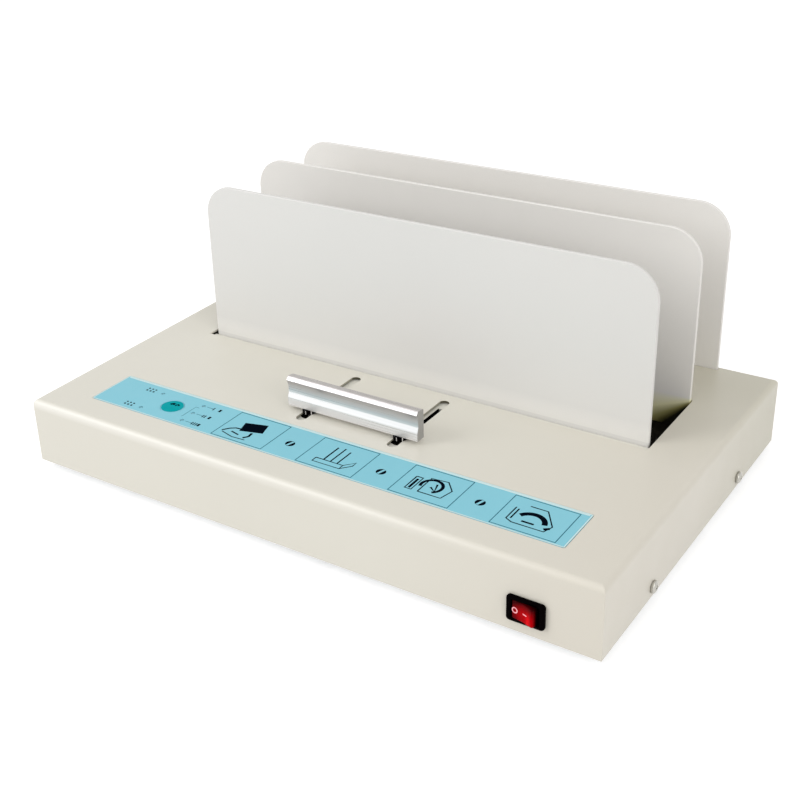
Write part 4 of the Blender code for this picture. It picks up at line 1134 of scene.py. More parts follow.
# Rounded, because a node's corners carry noise in their last digits.
switch_x, switch_z = (round(v, 3) for v in node_middle("switch_body").xz)
inlet_x, inlet_z = (round(v, 3) for v in node_middle("power_inlet").xz)
inlet_screw_out = round(node_middle("inlet_screw_right").x - inlet_x, 3)
stud_across = round(node_middle("handle_stud_right").x, 3)
key_low, key_high = node_box("start_key")
key_middle = node_middle("start_key")
label_low, label_high = node_box("overlay_label")
label_middle = node_middle("overlay_label")
lamp_names = [f"indicator_lamp_{number}" for number in range(1, 6)]
lamp_middles = [node_middle(name) for name in lamp_names]
side_screws = {
    word: node_middle(f"side_screw_{word}")
    for word in ("left_front", "left_rear", "right_front", "right_rear")
}
print(f"studs {stud_across:.1f} mm from the middle, {len(lamp_middles)} lamps")

# %% Punches
punch_overrun = 2.0
wall_overrun = 3
small_screw_hole = 1.7
side_screw_hole = 2.2
slot_width, slot_length, slot_back = 6.4, 63.6, 93.5
slot_end_radius = 3.19
seat_depth = 0.5


def top_punch(width, depth, across, back, radius, steps=6, reach=punch_overrun):
    """A punch into the case's top from above. Its usual reach goes through the sheet."""
    shape = rounded_sheet(width, depth, reach + punch_overrun, radius, steps)
    return put(shape, facing("top", spot(across, back, case_top - reach)))


def wall_punch(side, place, width, height):
    """A square punch from a place behind an upright wall out through it."""
    return put(rounded_sheet(width, height, 2 * wall_overrun, 0.4, 2), facing(side, place))


def round_punch(side, place, radius, steps=24):
    end = wall_overrun
    shape = lathe([(0, -end), (radius, -end), (radius, end), (0, end)], steps)
    return put(shape, facing(side, place))


# The well, the two stud slots, the back plate's slot, the label's seat and the key's hole.
punches = [
    top_punch(312.4, 67.3, 0, 164.45, 0.6, 3),
    top_punch(slot_width, slot_length, -stud_across, slot_back, slot_end_radius, 12),
    top_punch(slot_width, slot_length, stud_across, slot_back, slot_end_radius, 12),
    top_punch(308.8, 3.1, 0, 245.05, 0.6, 3),
    top_punch(318.6, 35.0, 0, 37.8, 1.2, 4, reach=seat_depth),
    round_punch("top", spot(key_middle.x, key_middle.y, case_top), 7.8, 64),
]
for middle in lamp_middles:
    punches.append(round_punch("top", spot(middle.x, middle.y, case_top), 1.8))
punches.append(wall_punch("front", spot(switch_x, wall_overrun, switch_z), 19.8, 13.5))
inlet_place = spot(inlet_x, case_depth - wall_overrun, inlet_z)
punches.append(wall_punch("back", inlet_place, 28.1, 20.1))
for side in (-1, 1):
    place = spot(inlet_x + side * inlet_screw_out, case_depth, inlet_z)
    punches.append(round_punch("back", place, small_screw_hole))
for word in ("left", "right"):
    middle = node_middle(f"back_plate_screw_{word}")
    punches.append(round_punch("back", spot(middle.x, case_depth, middle.z), small_screw_hole))
for word, middle in side_screws.items():
    side = word.split("_")[0]
    across = case_half if side == "right" else -case_half
    punches.append(round_punch(side, spot(across, middle.y, middle.z), side_screw_hole))
print(len(punches), "punches")

# %% Punched and coated case
slot_rear = slot_back + slot_length / 2


def looks_inside(face):
    """True for the faces of the sheet that look into the case, but not a punched rim."""
    centre = face.calc_center_median()
    back = (centre.y - front_y) / mm
    walls = min(case_half - abs(centre.x) / mm, back, case_depth - back)
    inset = min(walls, case_top - centre.z / mm)
    inwards = spot(0, case_depth / 2, case_top / 2) - centre
    return inset > sheet - 0.05 and face.normal.dot(inwards) > 0


def slot_finish(face):
    """2 on the rear round end of a stud slot, 3 on the rest of its cut edge, or else 0. Both carry
    painted shade.
    """
    centre = face.calc_center_median()
    beside = abs(abs(centre.x) / mm - stud_across)
    before_end = slot_rear - (centre.y - front_y) / mm
    if beside > slot_width / 2 + 0.1 or not -0.1 < before_end < slot_length + 0.7:
        return 0
    if face.normal.z > 0.8:
        return 0
    return 2 if before_end < 2.9 and face.normal.y < -0.2 else 3


case_shape = cut_out(case_shape, punches)
soften(case_shape, 0.18, 2, 34)
for face in case_shape.faces:
    face.material_index = 1 if looks_inside(face) else slot_finish(face)
make_piece(
    "case_cover", case_shape, [case_coat, inside_coat, slot_end_shade, cut_edge_shade],
    stands_for=["top_cover"],
)

# %% [markdown]
# ## The three plates
#
# The clamp plate, the middle plate and the rack plate behind are 2.5 mm
# steel with two large round corners. A flat face with two of its corner
# points rounded and then thickened is the whole shape. The rims get a small
# round all along, which shows as the light line down each plate's edge.

# %% Plates
plate_corner = 20
plate_rim = 0.55
plate_screws = {
    "front_plate": "front_plate_rivet_right",
    "middle_plate": "middle_plate_screw_right",
    "back_plate": "back_plate_screw_right",
}


def standing_plate(node, screw):
    low, high = node_box(node)
    shape = flat_face(high.x - low.x, high.z - low.z)
    round_corners(shape, [v for v in shape.verts if v.co.y > 0], plate_corner, 24)
    thicken(shape, high.y - low.y)
    put(shape, facing("front", spot(0, high.y, (low.z + high.z) / 2)))
    middle_y = (low.y + high.y) / 2
    holes = [
        round_punch("front", spot(side * screw.x, middle_y, screw.z), small_screw_hole)
        for side in (-1, 1)
    ]
    return soften(cut_out(shape, holes), plate_rim, 3, 40)


for node, screw_name in plate_screws.items():
    make_piece(
        node.replace("_plate", "_coated_plate"),
        standing_plate(node, node_middle(screw_name)),
        plate_coats[node],
        body="clamp" if node == "front_plate" else "housing",
        stands_for=[node],
    )

# %% [markdown]
# ## The pull bar
#
# The bar is a drawn aluminium section, cut to length: a flat band below, a
# rounded ledge, a hollow groove for the fingertips and a lip along the top,
# with a rounded back. The section is drawn once with fine arcs and extruded
# along the bar. Rounding the two sawn ends only a little keeps them crisp,
# and their faces get the sawn finish.

# %% Bar section
bar_low, bar_high = node_box("handle_bar")
bar_depth = bar_high.y - bar_low.y
bar_height = bar_high.z - bar_low.z
band_back, band_top = 0.6, 5.4
ledge_top = 8.6
groove_back, groove_floor = 1.7, 10.6
lip_foot = 16.5


def rounded_outline(corners, steps=5):
    """An outline from corners given as (x, y, radius), each rounded by its radius."""
    points = []
    for i, (x, y, radius) in enumerate(corners):
        here = Vector((x, y))
        if not radius:
            points.append((x, y))
            continue
        before = (Vector(corners[i - 1][:2]) - here).normalized()
        after = (Vector(corners[(i + 1) % len(corners)][:2]) - here).normalized()
        half = before.angle(after) / 2
        reach = radius / math.tan(half)
        centre = here + (before + after).normalized() * (radius / math.sin(half))
        for step in range(steps + 1):
            way = (before * reach).lerp(after * reach, step / steps) + here - centre
            points.append(tuple(centre + way.normalized() * radius))
    return points


# The groove's arc starts upright at its floor and comes forward to the lip.
groove_reach = groove_back - 0.3
groove_rise = lip_foot - groove_floor
groove_radius = (groove_reach**2 + groove_rise**2) / (2 * groove_reach)
groove_angle = math.degrees(math.asin(groove_rise / groove_radius))
groove = arc(groove_back - groove_radius, groove_floor, groove_radius, groove_angle, 0, 16)
bar_section = rounded_outline([
    (bar_depth, 0, 0.3),
    (bar_depth, bar_height - 0.8, 1.4),
    (1.9, bar_height, 0.5),
    (1.3, bar_height - 0.6, 0.4),
    (0, lip_foot + 0.3, 0.12),
    *((x, y, 0) for x, y in groove),
    (groove_back, ledge_top, 1.2),
    (band_back, band_top, 0.5),
    (band_back, 0, 0.3),
])
print("bar section:", len(bar_section), "points,", f"{bar_depth:.1f} x {bar_height:.1f} mm")


# %% Bar
def pull_bar():
    shape = outlined_sheet(bar_section, bar_high.x - bar_low.x)
    # Drawn as (back, up, along): the third direction becomes X.
    turn = Matrix(((0, 0, 1), (1, 0, 0), (0, 1, 0))).to_4x4()
    put(shape, Matrix.Translation(spot(*bar_low)) @ turn)
    ends = [f for f in shape.faces if abs(f.normal.x) > 0.9]
    for face in ends:
        face.material_index = 1
    rims = {e for face in ends for e in face.edges}
    return round_edges(shape, list(rims), 0.12, 2)


make_piece(
    "pull_bar", pull_bar(), [bar_metal, bar_end_metal],
    body="clamp", stands_for=["handle_bar"], degrees=28,
)

# %% [markdown]
# ## Studs under the bar
#
# Each stud is a threaded rod. A black eight-sided collar locks it against
# the bar, a thin hex nut holds it from below, and a black washer lies where
# it passes the sliding plate. The black of the collar and the washer paints
# the shade under the bar, and the collar's edges carry a painted highlight.
# The thread is spun as a row of fine rings, which reads as a thread at this
# size with far fewer faces than a true helix.

# %% Stud, nut and collar
thread_top, thread_root, rod_radius = 2.15, 1.82, 1.9
thread_pitch = 0.7
nut_height, nut_reach = 2.5, 4.1
collar_reach = 4.6
slide_top = node_box("slide_plate")[1].z + 0.02
collar_bottom, collar_top = case_top + 0.15, bar_low.z - 0.03


def stud_profile(bottom, top):
    """The stud's half section: a chamfered end, thread rings, and a smooth neck."""
    height = bottom + 0.35
    profile = [(0, bottom), (1.8, bottom), (thread_top, height)]
    while height + thread_pitch < case_top - 3:
        profile += [
            (thread_top, height + 0.12), (thread_root, height + 0.35), (thread_top, height + 0.58)
        ]
        height += thread_pitch
    profile += [(rod_radius, height + 0.3), (rod_radius, height + 0.8)]
    profile += [(thread_top, height + 1.0), (thread_top, top), (0, top)]
    return profile


def stud_collar(height):
    """An eight-sided black collar round the stud, with painted highlights on its upright edges."""
    shape = outlined_sheet(regular_outline(8, collar_reach, turn=2), height)
    round_edges(shape, upright_edges(shape), 0.30, 2)
    # The small upright edge faces get the bright bar metal as a painted highlight.
    for face in shape.faces:
        if abs(face.normal.z) < 0.5 and face.calc_area() < height * mm * mm:
            face.material_index = 1
    bore = thread_top + 0.02
    return cut_out(shape, [lathe([(0, -3), (bore, -3), (bore, 6), (0, 6)], 32)])


def upright_at(shape, middle, height):
    """Carries a shape drawn round Z to a place, its zero at that height."""
    return put(shape, facing("top", spot(middle.x, middle.y, height)))


washer_profile = [(2.3, 0), (5.5, 0), (5.8, 0.2), (5.5, 0.45), (2.3, 0.45), (2.3, 0)]
for word in ("left", "right"):
    stud_low, stud_high = node_box(f"handle_stud_{word}")
    middle = (stud_low + stud_high) / 2
    stud = lathe(stud_profile(stud_low.z, stud_high.z), 32)
    make_piece(
        f"threaded_stud_{word}", upright_at(stud, middle, 0), steel, body="clamp",
        stands_for=[f"handle_stud_{word}"], degrees=40,
    )
    nut = soften(outlined_sheet(regular_outline(6, nut_reach), nut_height), 0.18, 2, 40)
    upright_at(nut, middle, stud_low.z)
    make_piece(f"stud_nut_{word}", nut, steel, body="clamp")
    collar = upright_at(stud_collar(collar_top - collar_bottom), middle, collar_bottom)
    make_piece(
        f"stud_collar_{word}", collar, [black_gloss, bar_metal], body="clamp"
    )
    # A black washer on the sliding plate paints the shade under the bar.
    washer = upright_at(lathe(washer_profile, 48), middle, slide_top)
    make_piece(f"slide_shade_washer_{word}", washer, black_shade_sheet, body="clamp")
print(f"collars {collar_top - collar_bottom:.2f} mm high, over the case")

# %% [markdown]
# ### Beside the neck
#
# The sliding plate has a narrow neck between the studs and the clamp. Seen
# through the right slot, its opening lies in shade: black sheets below it
# and along the neck's side paint that shade. In front of them a small
# painted gusset stiffens the corner. All three are plain boxes with soft
# edges.

# %% Shade sheets and gusset
neck_side = 30.22
gusset_end = 98.0
shade_sheet_top = slide_top - 1.6
# The two black sheets paint the shade in the neck's opening.
neck_pieces = {
    "neck_felt": (
        spot(24.0, 88.0, shade_sheet_top - 0.5), spot(36.5, 117.0, shade_sheet_top),
        0.1, black_shade_sheet, "black_rubber",
    ),
    "neck_edge_felt": (
        spot(neck_side, gusset_end, shade_sheet_top), spot(neck_side + 0.4, 117.95, slide_top - 0.05),
        0.1, black_shade_sheet, "black_rubber",
    ),
    "neck_gusset": (
        spot(neck_side, 86.05, slide_top - 1.4), spot(36.2, gusset_end, slide_top - 0.06),
        0.2, slide_coat, "case_paint",
    ),
}
for name, (low, high, radius, finish, slot) in neck_pieces.items():
    make_piece(name, soften(box_shape(low, high), radius), finish, body="clamp")

# %% [markdown]
# ## The label
#
# A printed polyester film lies in a shallow seat in the case's top. It has a
# pale rim, four outlined panels with pictures of the steps, and a round key
# with lamps beside it. The film is a thin sheet with punched holes. Each
# print is its own very thin raised shape, so it keeps a crisp edge at any
# distance and needs no image.

# %% Film
label_top = label_high.z
film = rounded_sheet(*(label_high - label_low), 2.0, 8)
put(film, facing("top", spot(label_middle.x, label_middle.y, label_low.z)))
film_holes = [round_punch("top", spot(key_middle.x, key_middle.y, label_top), 7.55, 64)]
for middle in lamp_middles:
    film_holes.append(round_punch("top", spot(middle.x, middle.y, label_top), 1.25))
film = cut_out(film, film_holes)
soften(film, 0.08, 1, 40)
make_piece("printed_film", film, label_film, stands_for=["overlay_label"])

# %% Prints
ink_height = 0.03


def joined(shapes):
    """Several shapes as one bmesh."""
    whole = bmesh.new()
    for shape in shapes:
        mesh = as_mesh(shape, "print")
        whole.from_mesh(mesh)
        bpy.data.meshes.remove(mesh)
    return whole


def printed(name, shapes, ink):
    """Joins flat shapes drawn in the label's own millimetres into one print."""
    whole = put(joined(shapes), facing("top", spot(0, 0, label_top + 0.002)))
    return make_piece(name, whole, ink)


def drawn_box(left, right, near, far, line):
    """An outlined rectangle."""
    shape = flat_face(right - left, far - near)
    middle = ((left + right) / 2 * mm, (near + far) / 2 * mm, 0)
    bmesh.ops.translate(shape, vec=middle, verts=shape.verts)
    return thicken(only_rim(shape, line), ink_height)


def patch(outline, raise_by=0.0):
    shape = outlined_sheet(outline, ink_height)
    return put(shape, Matrix.Translation((0, 0, raise_by * mm)))


def disc(across, back, radius, steps=40):
    shape = bmesh.new()
    bmesh.ops.create_circle(shape, cap_ends=True, radius=radius * mm, segments=steps)
    bmesh.ops.translate(shape, vec=(across * mm, back * mm, 0), verts=shape.verts)
    return thicken(shape, ink_height)


def stroke(points, line):
    """A drawn line: a thin tube along the points, pressed flat."""
    curve = bpy.data.curves.new("stroke", "CURVE")
    curve.dimensions = "3D"
    curve.bevel_depth = line / 2 * mm
    curve.bevel_resolution = 2
    curve.use_fill_caps = True
    spline = curve.splines.new("POLY")
    spline.points.add(len(points) - 1)
    for point, (x, y) in zip(spline.points, points):
        point.co = (x * mm, y * mm, 0, 1)
    shape = settled(linked("stroke", curve))
    bmesh.ops.remove_doubles(shape, verts=shape.verts, dist=0.001 * mm)
    bmesh.ops.scale(shape, vec=(1, 1, ink_height / line), verts=shape.verts)
    return put(shape, Matrix.Translation((0, 0, ink_height / 2 * mm)))


# %% Rim and panels
near, far = label_low.y, label_high.y
rim = drawn_box(label_low.x + 0.1, label_high.x - 0.1, near + 0.1, far - 0.1, 0.9)
strip_left, strip_right = label_low.x + 1.4, label_high.x - 1.4
strip_near, strip_far = far - 2.0, far - 0.9
back_strip = patch([
    (strip_left, strip_near), (strip_right, strip_near),
    (strip_right, strip_far), (strip_left, strip_far),
])
printed("label_pale_rim", [rim, back_strip], label_rim)
panels = [(-66.2, -29.5), (-5.6, 32.0), (55.3, 92.0), (116.2, 153.4)]
boxes = [drawn_box(left, right, 22.2, 52.3, 0.65) for left, right in panels]
printed("panel_lines", boxes, line_ink)

# %% Marks between the panels
mark_places = (-18.7, 42.7, 103.9)
mark_back = 36.0
printed("step_marks", [disc(across, mark_back, 2.9) for across in mark_places], dark_ink)
bands = []
for across in mark_places:
    slant = [(-1.5, -2.6), (0, -2.6), (1.5, 2.6), (0, 2.6)]
    bands.append(patch([(across + x, mark_back + y) for x, y in slant], ink_height))
printed("step_mark_bands", bands, label_film)

# %% [markdown]
# ### The four pictures
#
# Panel one: a stack of sheets goes down into the well. Panel two: the sheets
# stand between two plates. Panel three: the clamp moves along an arc. Panel
# four: the bound book cools on the rack. They are this script's own plain
# drawings: filled patches for solid things, strokes for lines.

# %% Pictures
pictures = {
    "picture_sheets": [
        patch([(-56.0, 42.6), (-42.0, 46.6), (-39.4, 37.2), (-53.4, 33.2)]),
        stroke([(-63, 29), (-60, 33), (-57, 35), (-53.4, 35.4)], 1.2),
        stroke([(-45, 34.5), (-44.4, 30.5), (-46.5, 27.5)], 1.6),
        stroke([(-62, 28), (-53, 25.5), (-44, 26)], 0.7),
        stroke([(-57, 30.6), (-51, 29.2)], 1.1),
    ],
    "picture_plates": [
        stroke([(3, 31), (21, 31), (21, 27), (3, 27), (3, 31)], 0.8),
        stroke([(8, 31), (8, 46)], 1.0),
        stroke([(12.5, 31), (12.5, 47)], 0.9),
        stroke([(17, 31), (17, 45)], 0.9),
        stroke([(21, 27), (26, 33), (26, 37), (21, 31)], 0.7),
    ],
    "picture_clamp": [
        stroke([(62, 42), (62, 29), (66, 29), (66, 42), (62, 42)], 0.9),
        stroke([(64, 40), (64, 30)], 1.5),
        stroke([(70, 29), (84, 29), (86, 38), (80, 45), (70, 44), (70, 29)], 0.8),
        stroke(arc(74, 37, 6.2, 205, -60, 18), 1.9),
        stroke([(74, 36), (78, 33), (76, 40)], 1.2),
    ],
    "picture_cooling": [
        stroke([(122, 42), (122, 30), (126, 28), (144, 28), (146, 34), (138, 46), (128, 46)], 0.8),
        stroke([(124, 41), (124, 31)], 0.9),
        stroke(arc(134, 32, 8.0, 10, 150, 16), 3.0),
        stroke([(130, 31.4), (137, 31.4)], 1.4),
        stroke([(143, 30), (145.6, 32)], 1.9),
    ],
}
for name, shapes in pictures.items():
    printed(name, shapes, dark_ink)

# %% Marks beside the lamps
by_place = sorted(lamp_middles, key=lambda m: m.x)
left_lamps, right_lamps = by_place[:2], by_place[2:]
small_marks = []
for middle in left_lamps:
    for i in (-1, 0, 1):
        x, y = middle.x - 9.6 + 2.6 * i, middle.y + 0.4
        small_marks.append(stroke([(x - 0.6, y - 1.6), (x + 0.7, y - 1.4)], 1.4))
        small_marks.append(stroke([(x - 0.5, y + 1.5), (x + 0.5, y + 0.7)], 1.1))
# The rearmost lamp at the right has one line, the next two, and the front one three.
for count, middle in enumerate(sorted(right_lamps, key=lambda m: -m.y), 1):
    x, y = middle.x + 7.8, middle.y
    for i in range(count):
        small_marks.append(stroke([(x + 1.5 * i, y - 1.5), (x + 1.5 * i, y + 1.4)], 0.8))
    small_marks.append(stroke([(x + 4.8, y - 1.4), (x + 4.8, y + 1.4)], 1.6))
printed("lamp_marks", small_marks, dark_ink)
leaders = []
for middle in right_lamps:
    leaders.append(stroke([(middle.x + 2.6, middle.y), (middle.x + 7.6, middle.y)], 0.35))
x = right_lamps[0].x
leaders.append(stroke([(x - 3.4, 30.0), (x - 3.4, 43.2), (x - 0.8, 43.2)], 0.35))
printed("lamp_leaders", leaders, line_ink)

# %% [markdown]
# ## The start key and the lamps
#
# The key is a round cap flush with the film, pressed by a fingertip, with a
# slightly domed top. Its print is a thin teal disc with a small dark mark.
# Cap and disc are lathe jobs: half a section spun round. The lamps are small
# domed ends that stand in the film's holes.

# %% Key
key_top = key_high.z
key_radius = 7.45
key_stem_radius = 1.6
key_place = facing("top", spot(key_middle.x, key_middle.y, 0))
cap = lathe([
    (0, key_top), (3.5, key_top - 0.02), (6.4, key_top - 0.08), (7.2, key_top - 0.22),
    (key_radius, key_top - 0.5), (key_radius, key_top - 1.0),
    (key_stem_radius, key_top - 1.05), (key_stem_radius, key_low.z), (0, key_low.z),
], 72)
make_piece(
    "start_cap", put(cap, key_place), label_film,
    body="start_key", stands_for=["start_key"],
)
print_top, print_foot, print_radius = key_top + 0.02, key_top - 0.32, 6.86
key_print = lathe(
    [(0, print_top), (print_radius, print_top), (print_radius, print_foot), (0, print_foot)], 72
)
make_piece(
    "start_cap_print", put(key_print, key_place), key_film, body="start_key", degrees=60
)
x, y = key_middle.x, key_middle.y
sign = joined([
    stroke([(x - 3.0, y + 1.6), (x - 1.6, y + 3.6), (x - 0.4, y + 1.8)], 1.3),
    stroke([(x - 2.4, y + 1.2), (x - 0.2, y + 3.8)], 0.9),
    stroke([(x + 0.8, y + 1.4), (x + 1.8, y + 3.6), (x + 3.2, y + 2.2)], 1.4),
])
put(sign, facing("top", spot(0, 0, key_top + 0.01)))
make_piece("start_cap_mark", sign, dark_ink, body="start_key")

# %% Lamps
for number, name in enumerate(lamp_names, 1):
    low, high = node_box(name)
    top, bottom = high.z, low.z
    profile = [
        (0, top), (0.5, top - 0.06), (0.85, top - 0.28), (1.0, top - 0.6),
        (1.0, top - 0.9), (1.5, top - 1.1), (1.5, bottom + 1.0),
        (1.9, bottom + 0.9), (1.9, bottom), (0, bottom),
    ]
    middle = lamp_middles[number - 1]
    shape = upright_at(lathe(profile, 24), middle, 0)
    make_piece(f"lamp_{number}", shape, lamp_resin, stands_for=[name])

# %% [markdown]
# ## The mains switch
#
# A panel switch snaps into a punched hole: a glossy black frame with rounded
# corners, a cavity, and a red rocker whose two faces meet in a shallow
# valley. The frame is a rounded sheet with a stepped body behind it and the
# cavity cut out. The rocker's section is drawn from the side, extruded over
# its height and softened, then tilted about the joint's axis.

# %% Switch body
bezel_depth, bezel_back = 2.0, -0.3
bezel = rounded_sheet(21.0, 15.0, bezel_depth, 2.0, 8)
round_edges(bezel, edges_above(bezel, bezel_depth - 0.1), 0.8, 5)
put(bezel, facing("front", spot(switch_x, bezel_back, switch_z)))
body_half_width, body_half_height, body_rear = 9.6, 6.45, 14
switch_box = box_shape(
    spot(switch_x - body_half_width, -1.2, switch_z - body_half_height),
    spot(switch_x + body_half_width, body_rear, switch_z + body_half_height),
)
cavity = rounded_sheet(15.6, 11.2, 9.0, 0.8, 4)
put(cavity, facing("front", spot(switch_x, 6.2, switch_z)))
switch_shape = cut_out(cut_out(bezel, [switch_box], "UNION"), [cavity])
soften(switch_shape, 0.22, 3, 50)
make_piece(
    "switch_frame", switch_shape, black_gloss,
    stands_for=["switch_body"], degrees=35,
)

# %% Rocker
rocker_axis = spot(switch_x, -0.2, switch_z)
rocker_tilt = math.radians(-14)
rocker_slope = math.radians(6)
rocker_half, rocker_height = 6.7, 10.6
valley_out, rim_out = 3.0, 1.0
rocker_place = Matrix.Translation(rocker_axis) @ Matrix.Rotation(rocker_tilt, 4, "Z")


def face_out(across):
    """How far the rocker's face stands out from the axis, that far from its middle."""
    return valley_out + abs(across) * math.tan(rocker_slope)


def rocker_shape():
    end = face_out(rocker_half)
    outline = [(rocker_half, end), (0.0, valley_out), (-rocker_half, end), (-rocker_half, rim_out)]
    outline += arc(0, 0, 6.2, 198, 342, 16)
    outline += [(rocker_half, rim_out)]
    shape = outlined_sheet(outline, rocker_height)
    # Drawn as (across, outwards, up): outwards is towards the front.
    turn = Matrix(((1, 0, 0), (0, -1, 0), (0, 0, 1))).to_4x4()
    put(shape, Matrix.Translation((0, 0, -rocker_height / 2 * mm)) @ turn)
    bmesh.ops.reverse_faces(shape, faces=shape.faces)
    ends = [
        e for e in shape.edges
        if all(abs(v.co.x) > (rocker_half - 0.1) * mm and v.co.y < -3.5 * mm for v in e.verts)
    ]
    round_edges(shape, ends, 1.3, 6)
    soften(shape, 0.5, 4, 25)
    # How deep each point lies, from 0 on the face to 1, for the shade painted into the red.
    depth = shape.verts.layers.float.new("depth")
    for v in shape.verts:
        below = (face_out(v.co.x / mm) + v.co.y / mm - 0.4) / 2.0
        beside = (abs(v.co.z) / mm - 4.9) / 0.7
        v[depth] = min(1.0, max(0.0, below) + 0.35 * max(0.0, beside))
    return put(shape, rocker_place)


make_piece(
    "red_rocker", rocker_shape(), red_tinted, body="switch_rocker",
    stands_for=["switch_rocker"], degrees=40,
)

# %% Rocker marks
mark_height = 0.05


def rocker_face(across):
    """A place on the rocker's front, that far from its middle, left below zero."""
    face = Matrix(((1, 0, 0), (0, 0, -1), (0, 1, 0))).to_4x4()
    lean = Matrix.Rotation(math.copysign(rocker_slope, -across), 4, "Z")
    place = Matrix.Translation((across * mm, -(face_out(across) + 0.01) * mm, 0))
    return rocker_place @ place @ lean @ face


ring = bmesh.new()
bmesh.ops.create_circle(ring, cap_ends=True, radius=1.75 * mm, segments=40)
thicken(only_rim(ring, 0.65), mark_height)
make_piece("off_mark", put(ring, rocker_face(-4.6)), mark_ink, body="switch_rocker")
bar_mark = rounded_sheet(2.6, 0.7, mark_height, 0.2, 3)
make_piece("on_mark", put(bar_mark, rocker_face(1.5)), mark_ink, body="switch_rocker")

# %% [markdown]
# ## Screws
#
# The side screws and the small screws at the back are pan heads with a cross
# recess. The head is spun, and the cross is cut with a tapered cross-shaped
# punch. One function makes them all, since they differ only in size and in
# the side they face.

# %% Screws
# Each size is the head's radius and height, and the shank's radius and length.
side_screw_size = (3.6, 2.2, 1.9, 8.0)
small_screw_size = (2.8, 1.6, 1.4, 8.0)
small_head = small_screw_size[1]
screw_pitch = 0.7


def cross_punch(reach, arm, depth):
    """A cross that narrows towards its bottom."""
    outline = []
    for i in range(4):
        turn = math.radians(90 * i)
        for x, y in ((reach, -arm), (reach, arm), (arm, arm)):
            outline.append(
                (x * math.cos(turn) - y * math.sin(turn), x * math.sin(turn) + y * math.cos(turn))
            )
    shape = outlined_sheet(outline, depth + 1.0)
    low = [v for v in shape.verts if v.co.z < 0.01 * mm]
    bmesh.ops.scale(shape, vec=(0.45, 0.45, 1), verts=low)
    return shape


def pan_screw(head_radius, head, shank_radius, length):
    profile = [(0, head)]
    for i in range(1, 9):
        angle = math.pi / 2 * i / 8
        across = head_radius * math.sin(angle)
        profile.append((across, head - head * 0.55 * (1 - math.cos(angle))))
    profile += [(head_radius, 0), (shank_radius, 0)]
    height = 0.0
    while height - screw_pitch > -length:
        profile += [(shank_radius, height - 0.15), (shank_radius * 0.86, height - 0.4)]
        height -= screw_pitch
    profile += [(shank_radius * 0.8, -length), (0, -length)]
    reach = head_radius * 0.58
    cross = cross_punch(reach, reach * 0.2, head * 0.6)
    put(cross, Matrix.Translation((0, 0, head * 0.4 * mm)))
    return cut_out(lathe(profile, 40), [cross])


for word, middle in side_screws.items():
    side = word.split("_")[0]
    across = (case_half + 0.3) * (1 if side == "right" else -1)
    shape = put(pan_screw(*side_screw_size), facing(side, spot(across, middle.y, middle.z)))
    make_piece(
        f"case_screw_{word}", shape, dull_steel,
        stands_for=[f"side_screw_{word}"],
    )
for word in ("left", "right"):
    for kind in ("back_plate", "inlet", "middle_plate"):
        name = f"{kind}_screw_{word}"
        low, high = node_box(name)
        place = spot((low.x + high.x) / 2, high.y - small_head, (low.z + high.z) / 2)
        shape = put(pan_screw(*small_screw_size), facing("back", place))
        make_piece(f"{name}_head", shape, steel, stands_for=[name])

# %% [markdown]
# ## Feet
#
# Four rubber feet are screwed on from below. Each is a short tapered cup
# with a soft lower rim, spun from its half section.


# %% Feet
def foot_profile(radius, top):
    """The foot's half section, from its bore over its outside to the cup for the screw."""
    bore, cup = 1.7, 3.6
    return [
        (bore, top), (radius - 0.3, top), (radius, top - 0.3), (radius - 0.2, 2.2),
        (radius - 0.7, 1.9), (radius - 0.7, 1.5), (radius - 0.4, 1.3),
        *arc(radius - 1.6, 0.8, 0.8, 10, -90, 6),
        (cup + 0.6, 0), (cup, 0.5), (cup, 3.0), (bore, 3.0), (bore, top),
    ]


for end in ("front", "rear"):
    for word in ("left", "right"):
        low, high = node_box(f"foot_{end}_{word}")
        middle = (low + high) / 2
        foot = upright_at(lathe(foot_profile((high.x - low.x) / 2, high.z), 48), middle, 0)
        make_piece(
            f"rubber_foot_{end}_{word}", foot, rubber,
            stands_for=[f"foot_{end}_{word}"],
        )
        screw_low = node_box(f"foot_screw_{end}_{word}")[0]
        screw = pan_screw(*small_screw_size)
        put(screw, facing("below", spot(middle.x, middle.y, screw_low.z + small_head)))
        make_piece(
            f"foot_fixing_{end}_{word}", screw, steel,
            stands_for=[f"foot_screw_{end}_{word}"],
        )

# %% [markdown]
# ## The mains inlet
#
# At the back a moulded inlet takes the loose mains lead: a screwed flange, a
# socket with two cut corners, and three flat pins. It is built as the switch
# is: a rounded flange, a body behind, and the socket taken out.

# %% Inlet
flange_depth = 2.5
inlet_half_width, inlet_half_height, inlet_body_depth = 13.75, 9.75, 18
hood_depth = 1.0
socket_half, socket_shoulder, socket_top, socket_corner = 12.25, 7.25, 8.25, 3.25
socket_depth = 15
pin_length = 14


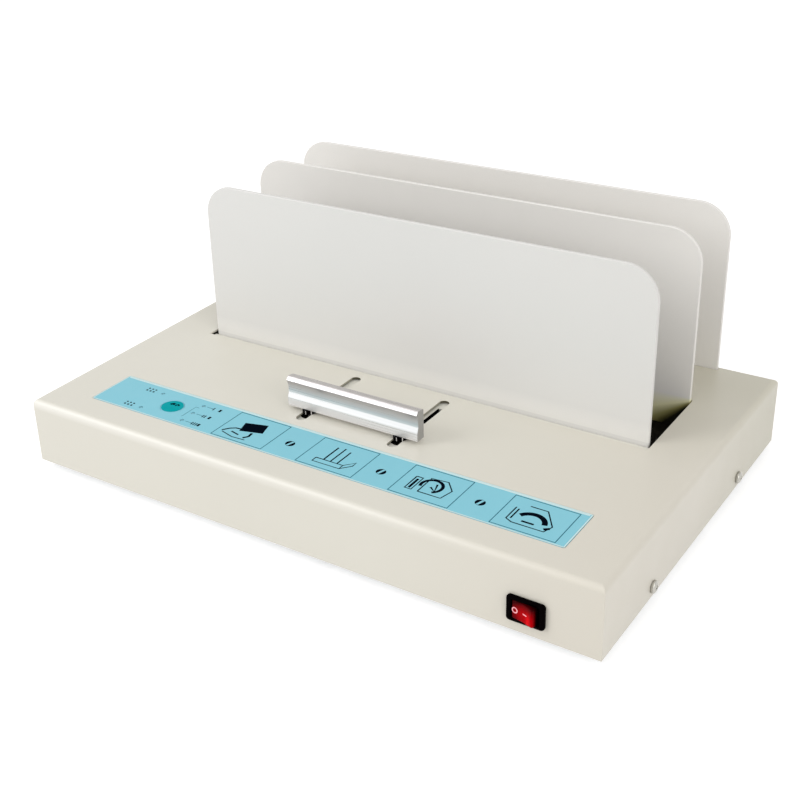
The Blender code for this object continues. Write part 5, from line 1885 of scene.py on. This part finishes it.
def inlet_shape():
    x, back, z = inlet_x, inlet_high.y, inlet_z
    body_end = back - flange_depth / 2
    flange = rounded_sheet(50, 22.5, flange_depth, 4, 10)
    round_edges(flange, edges_above(flange, flange_depth - 0.1), 0.5, 4)
    put(flange, facing("back", spot(x, back - flange_depth, z)))
    body = box_shape(
        spot(x - inlet_half_width, body_end - inlet_body_depth, z - inlet_half_height),
        spot(x + inlet_half_width, body_end, z + inlet_half_height),
    )
    # The hood stands out by a hair, so that its face doesn't lie in the flange's.
    hood = rounded_sheet(2 * inlet_half_width, 2 * inlet_half_height, hood_depth + 0.0001, 2, 6)
    put(hood, facing("back", spot(x, back - hood_depth, z)))
    shape = cut_out(flange, [body, hood], "UNION")
    socket = outlined_sheet([
        (socket_half, -socket_top), (socket_half, socket_corner), (socket_shoulder, socket_top),
        (-socket_shoulder, socket_top), (-socket_half, socket_corner), (-socket_half, -socket_top),
    ], socket_depth + 5)
    round_edges(socket, upright_edges(socket), 0.8, 4)
    put(socket, facing("back", spot(x, back - socket_depth, z)))
    holes = [
        round_punch("back", spot(x + side * inlet_screw_out, back, z), small_screw_hole)
        for side in (-1, 1)
    ]
    return soften(cut_out(shape, [socket, *holes]), 0.2, 2, 50)


make_piece(
    "inlet_housing", inlet_shape(), black_satin,
    stands_for=["power_inlet"], degrees=35,
)
for side, rise in ((-1, -2), (0, 2), (1, -2)):
    pin = rounded_sheet(2.0, 4.0, pin_length)
    round_edges(pin, edges_above(pin, pin_length - 1), 0.6, 3)
    pin_x, pin_z = inlet_x + side * 7, inlet_z + rise
    put(pin, facing("back", spot(pin_x, inlet_high.y - socket_depth - 2, pin_z)))
    make_piece(f"inlet_pin_{side + 2}", pin, steel)

# %% [markdown]
# ## Pieces that keep their CAD shape
#
# The sliding plate, the heater, the guides and the parts on the boards have
# the right shape already. Each gets a finish in its own material slot, and
# nothing about its mesh changes.

# %% Finishes for CAD nodes
kept_shapes = {
    "slide_plate": slide_coat,
    "base_plate": zinc,
    "slide_bush_left": nylon,
    "slide_bush_right": nylon,
    "guide_rod_left": steel,
    "guide_rod_right": steel,
    "rod_bracket_front": zinc,
    "rod_bracket_rear": zinc,
    "front_plate_rivet_left": steel,
    "front_plate_rivet_right": steel,
    "heater_tray": zinc,
    "heater_plate": heater_metal,
    "heater_strip_front": mica,
    "heater_strip_rear": mica,
    "thermal_cutout": nylon,
    "thermal_fuse": steel,
    "control_board": board_green,
    "power_board": board_green,
    "board_spacer_1": nylon,
    "board_spacer_2": nylon,
    "key_switch": black_satin,
    "transformer": core,
    "heater_relay": relay_blue,
    "switch_terminal_left": brass,
    "switch_terminal_right": brass,
}
for name, finish in kept_shapes.items():
    for material_slot in frame["nodes"][name].material_slots:
        material_slot.material = finish
print(len(kept_shapes), "CAD nodes given a finish")
replaced = {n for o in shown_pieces() for n in o.get("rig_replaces", [])}
print("nodes without a finish:", sorted(set(frame["nodes"]) - replaced - set(kept_shapes)))

# %% [markdown]
#
# The script prints how far the dressed machine reaches past the CAD model's
# box on each side, in millimetres. The dressed machine has to stay inside
# the CAD model's box.

# %% Sizes and finish
new_low, new_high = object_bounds()
growth = (*(cad_low - new_low), *(new_high - cad_high))
print("grown by, in mm:", [round(v * 1000, 3) for v in growth])
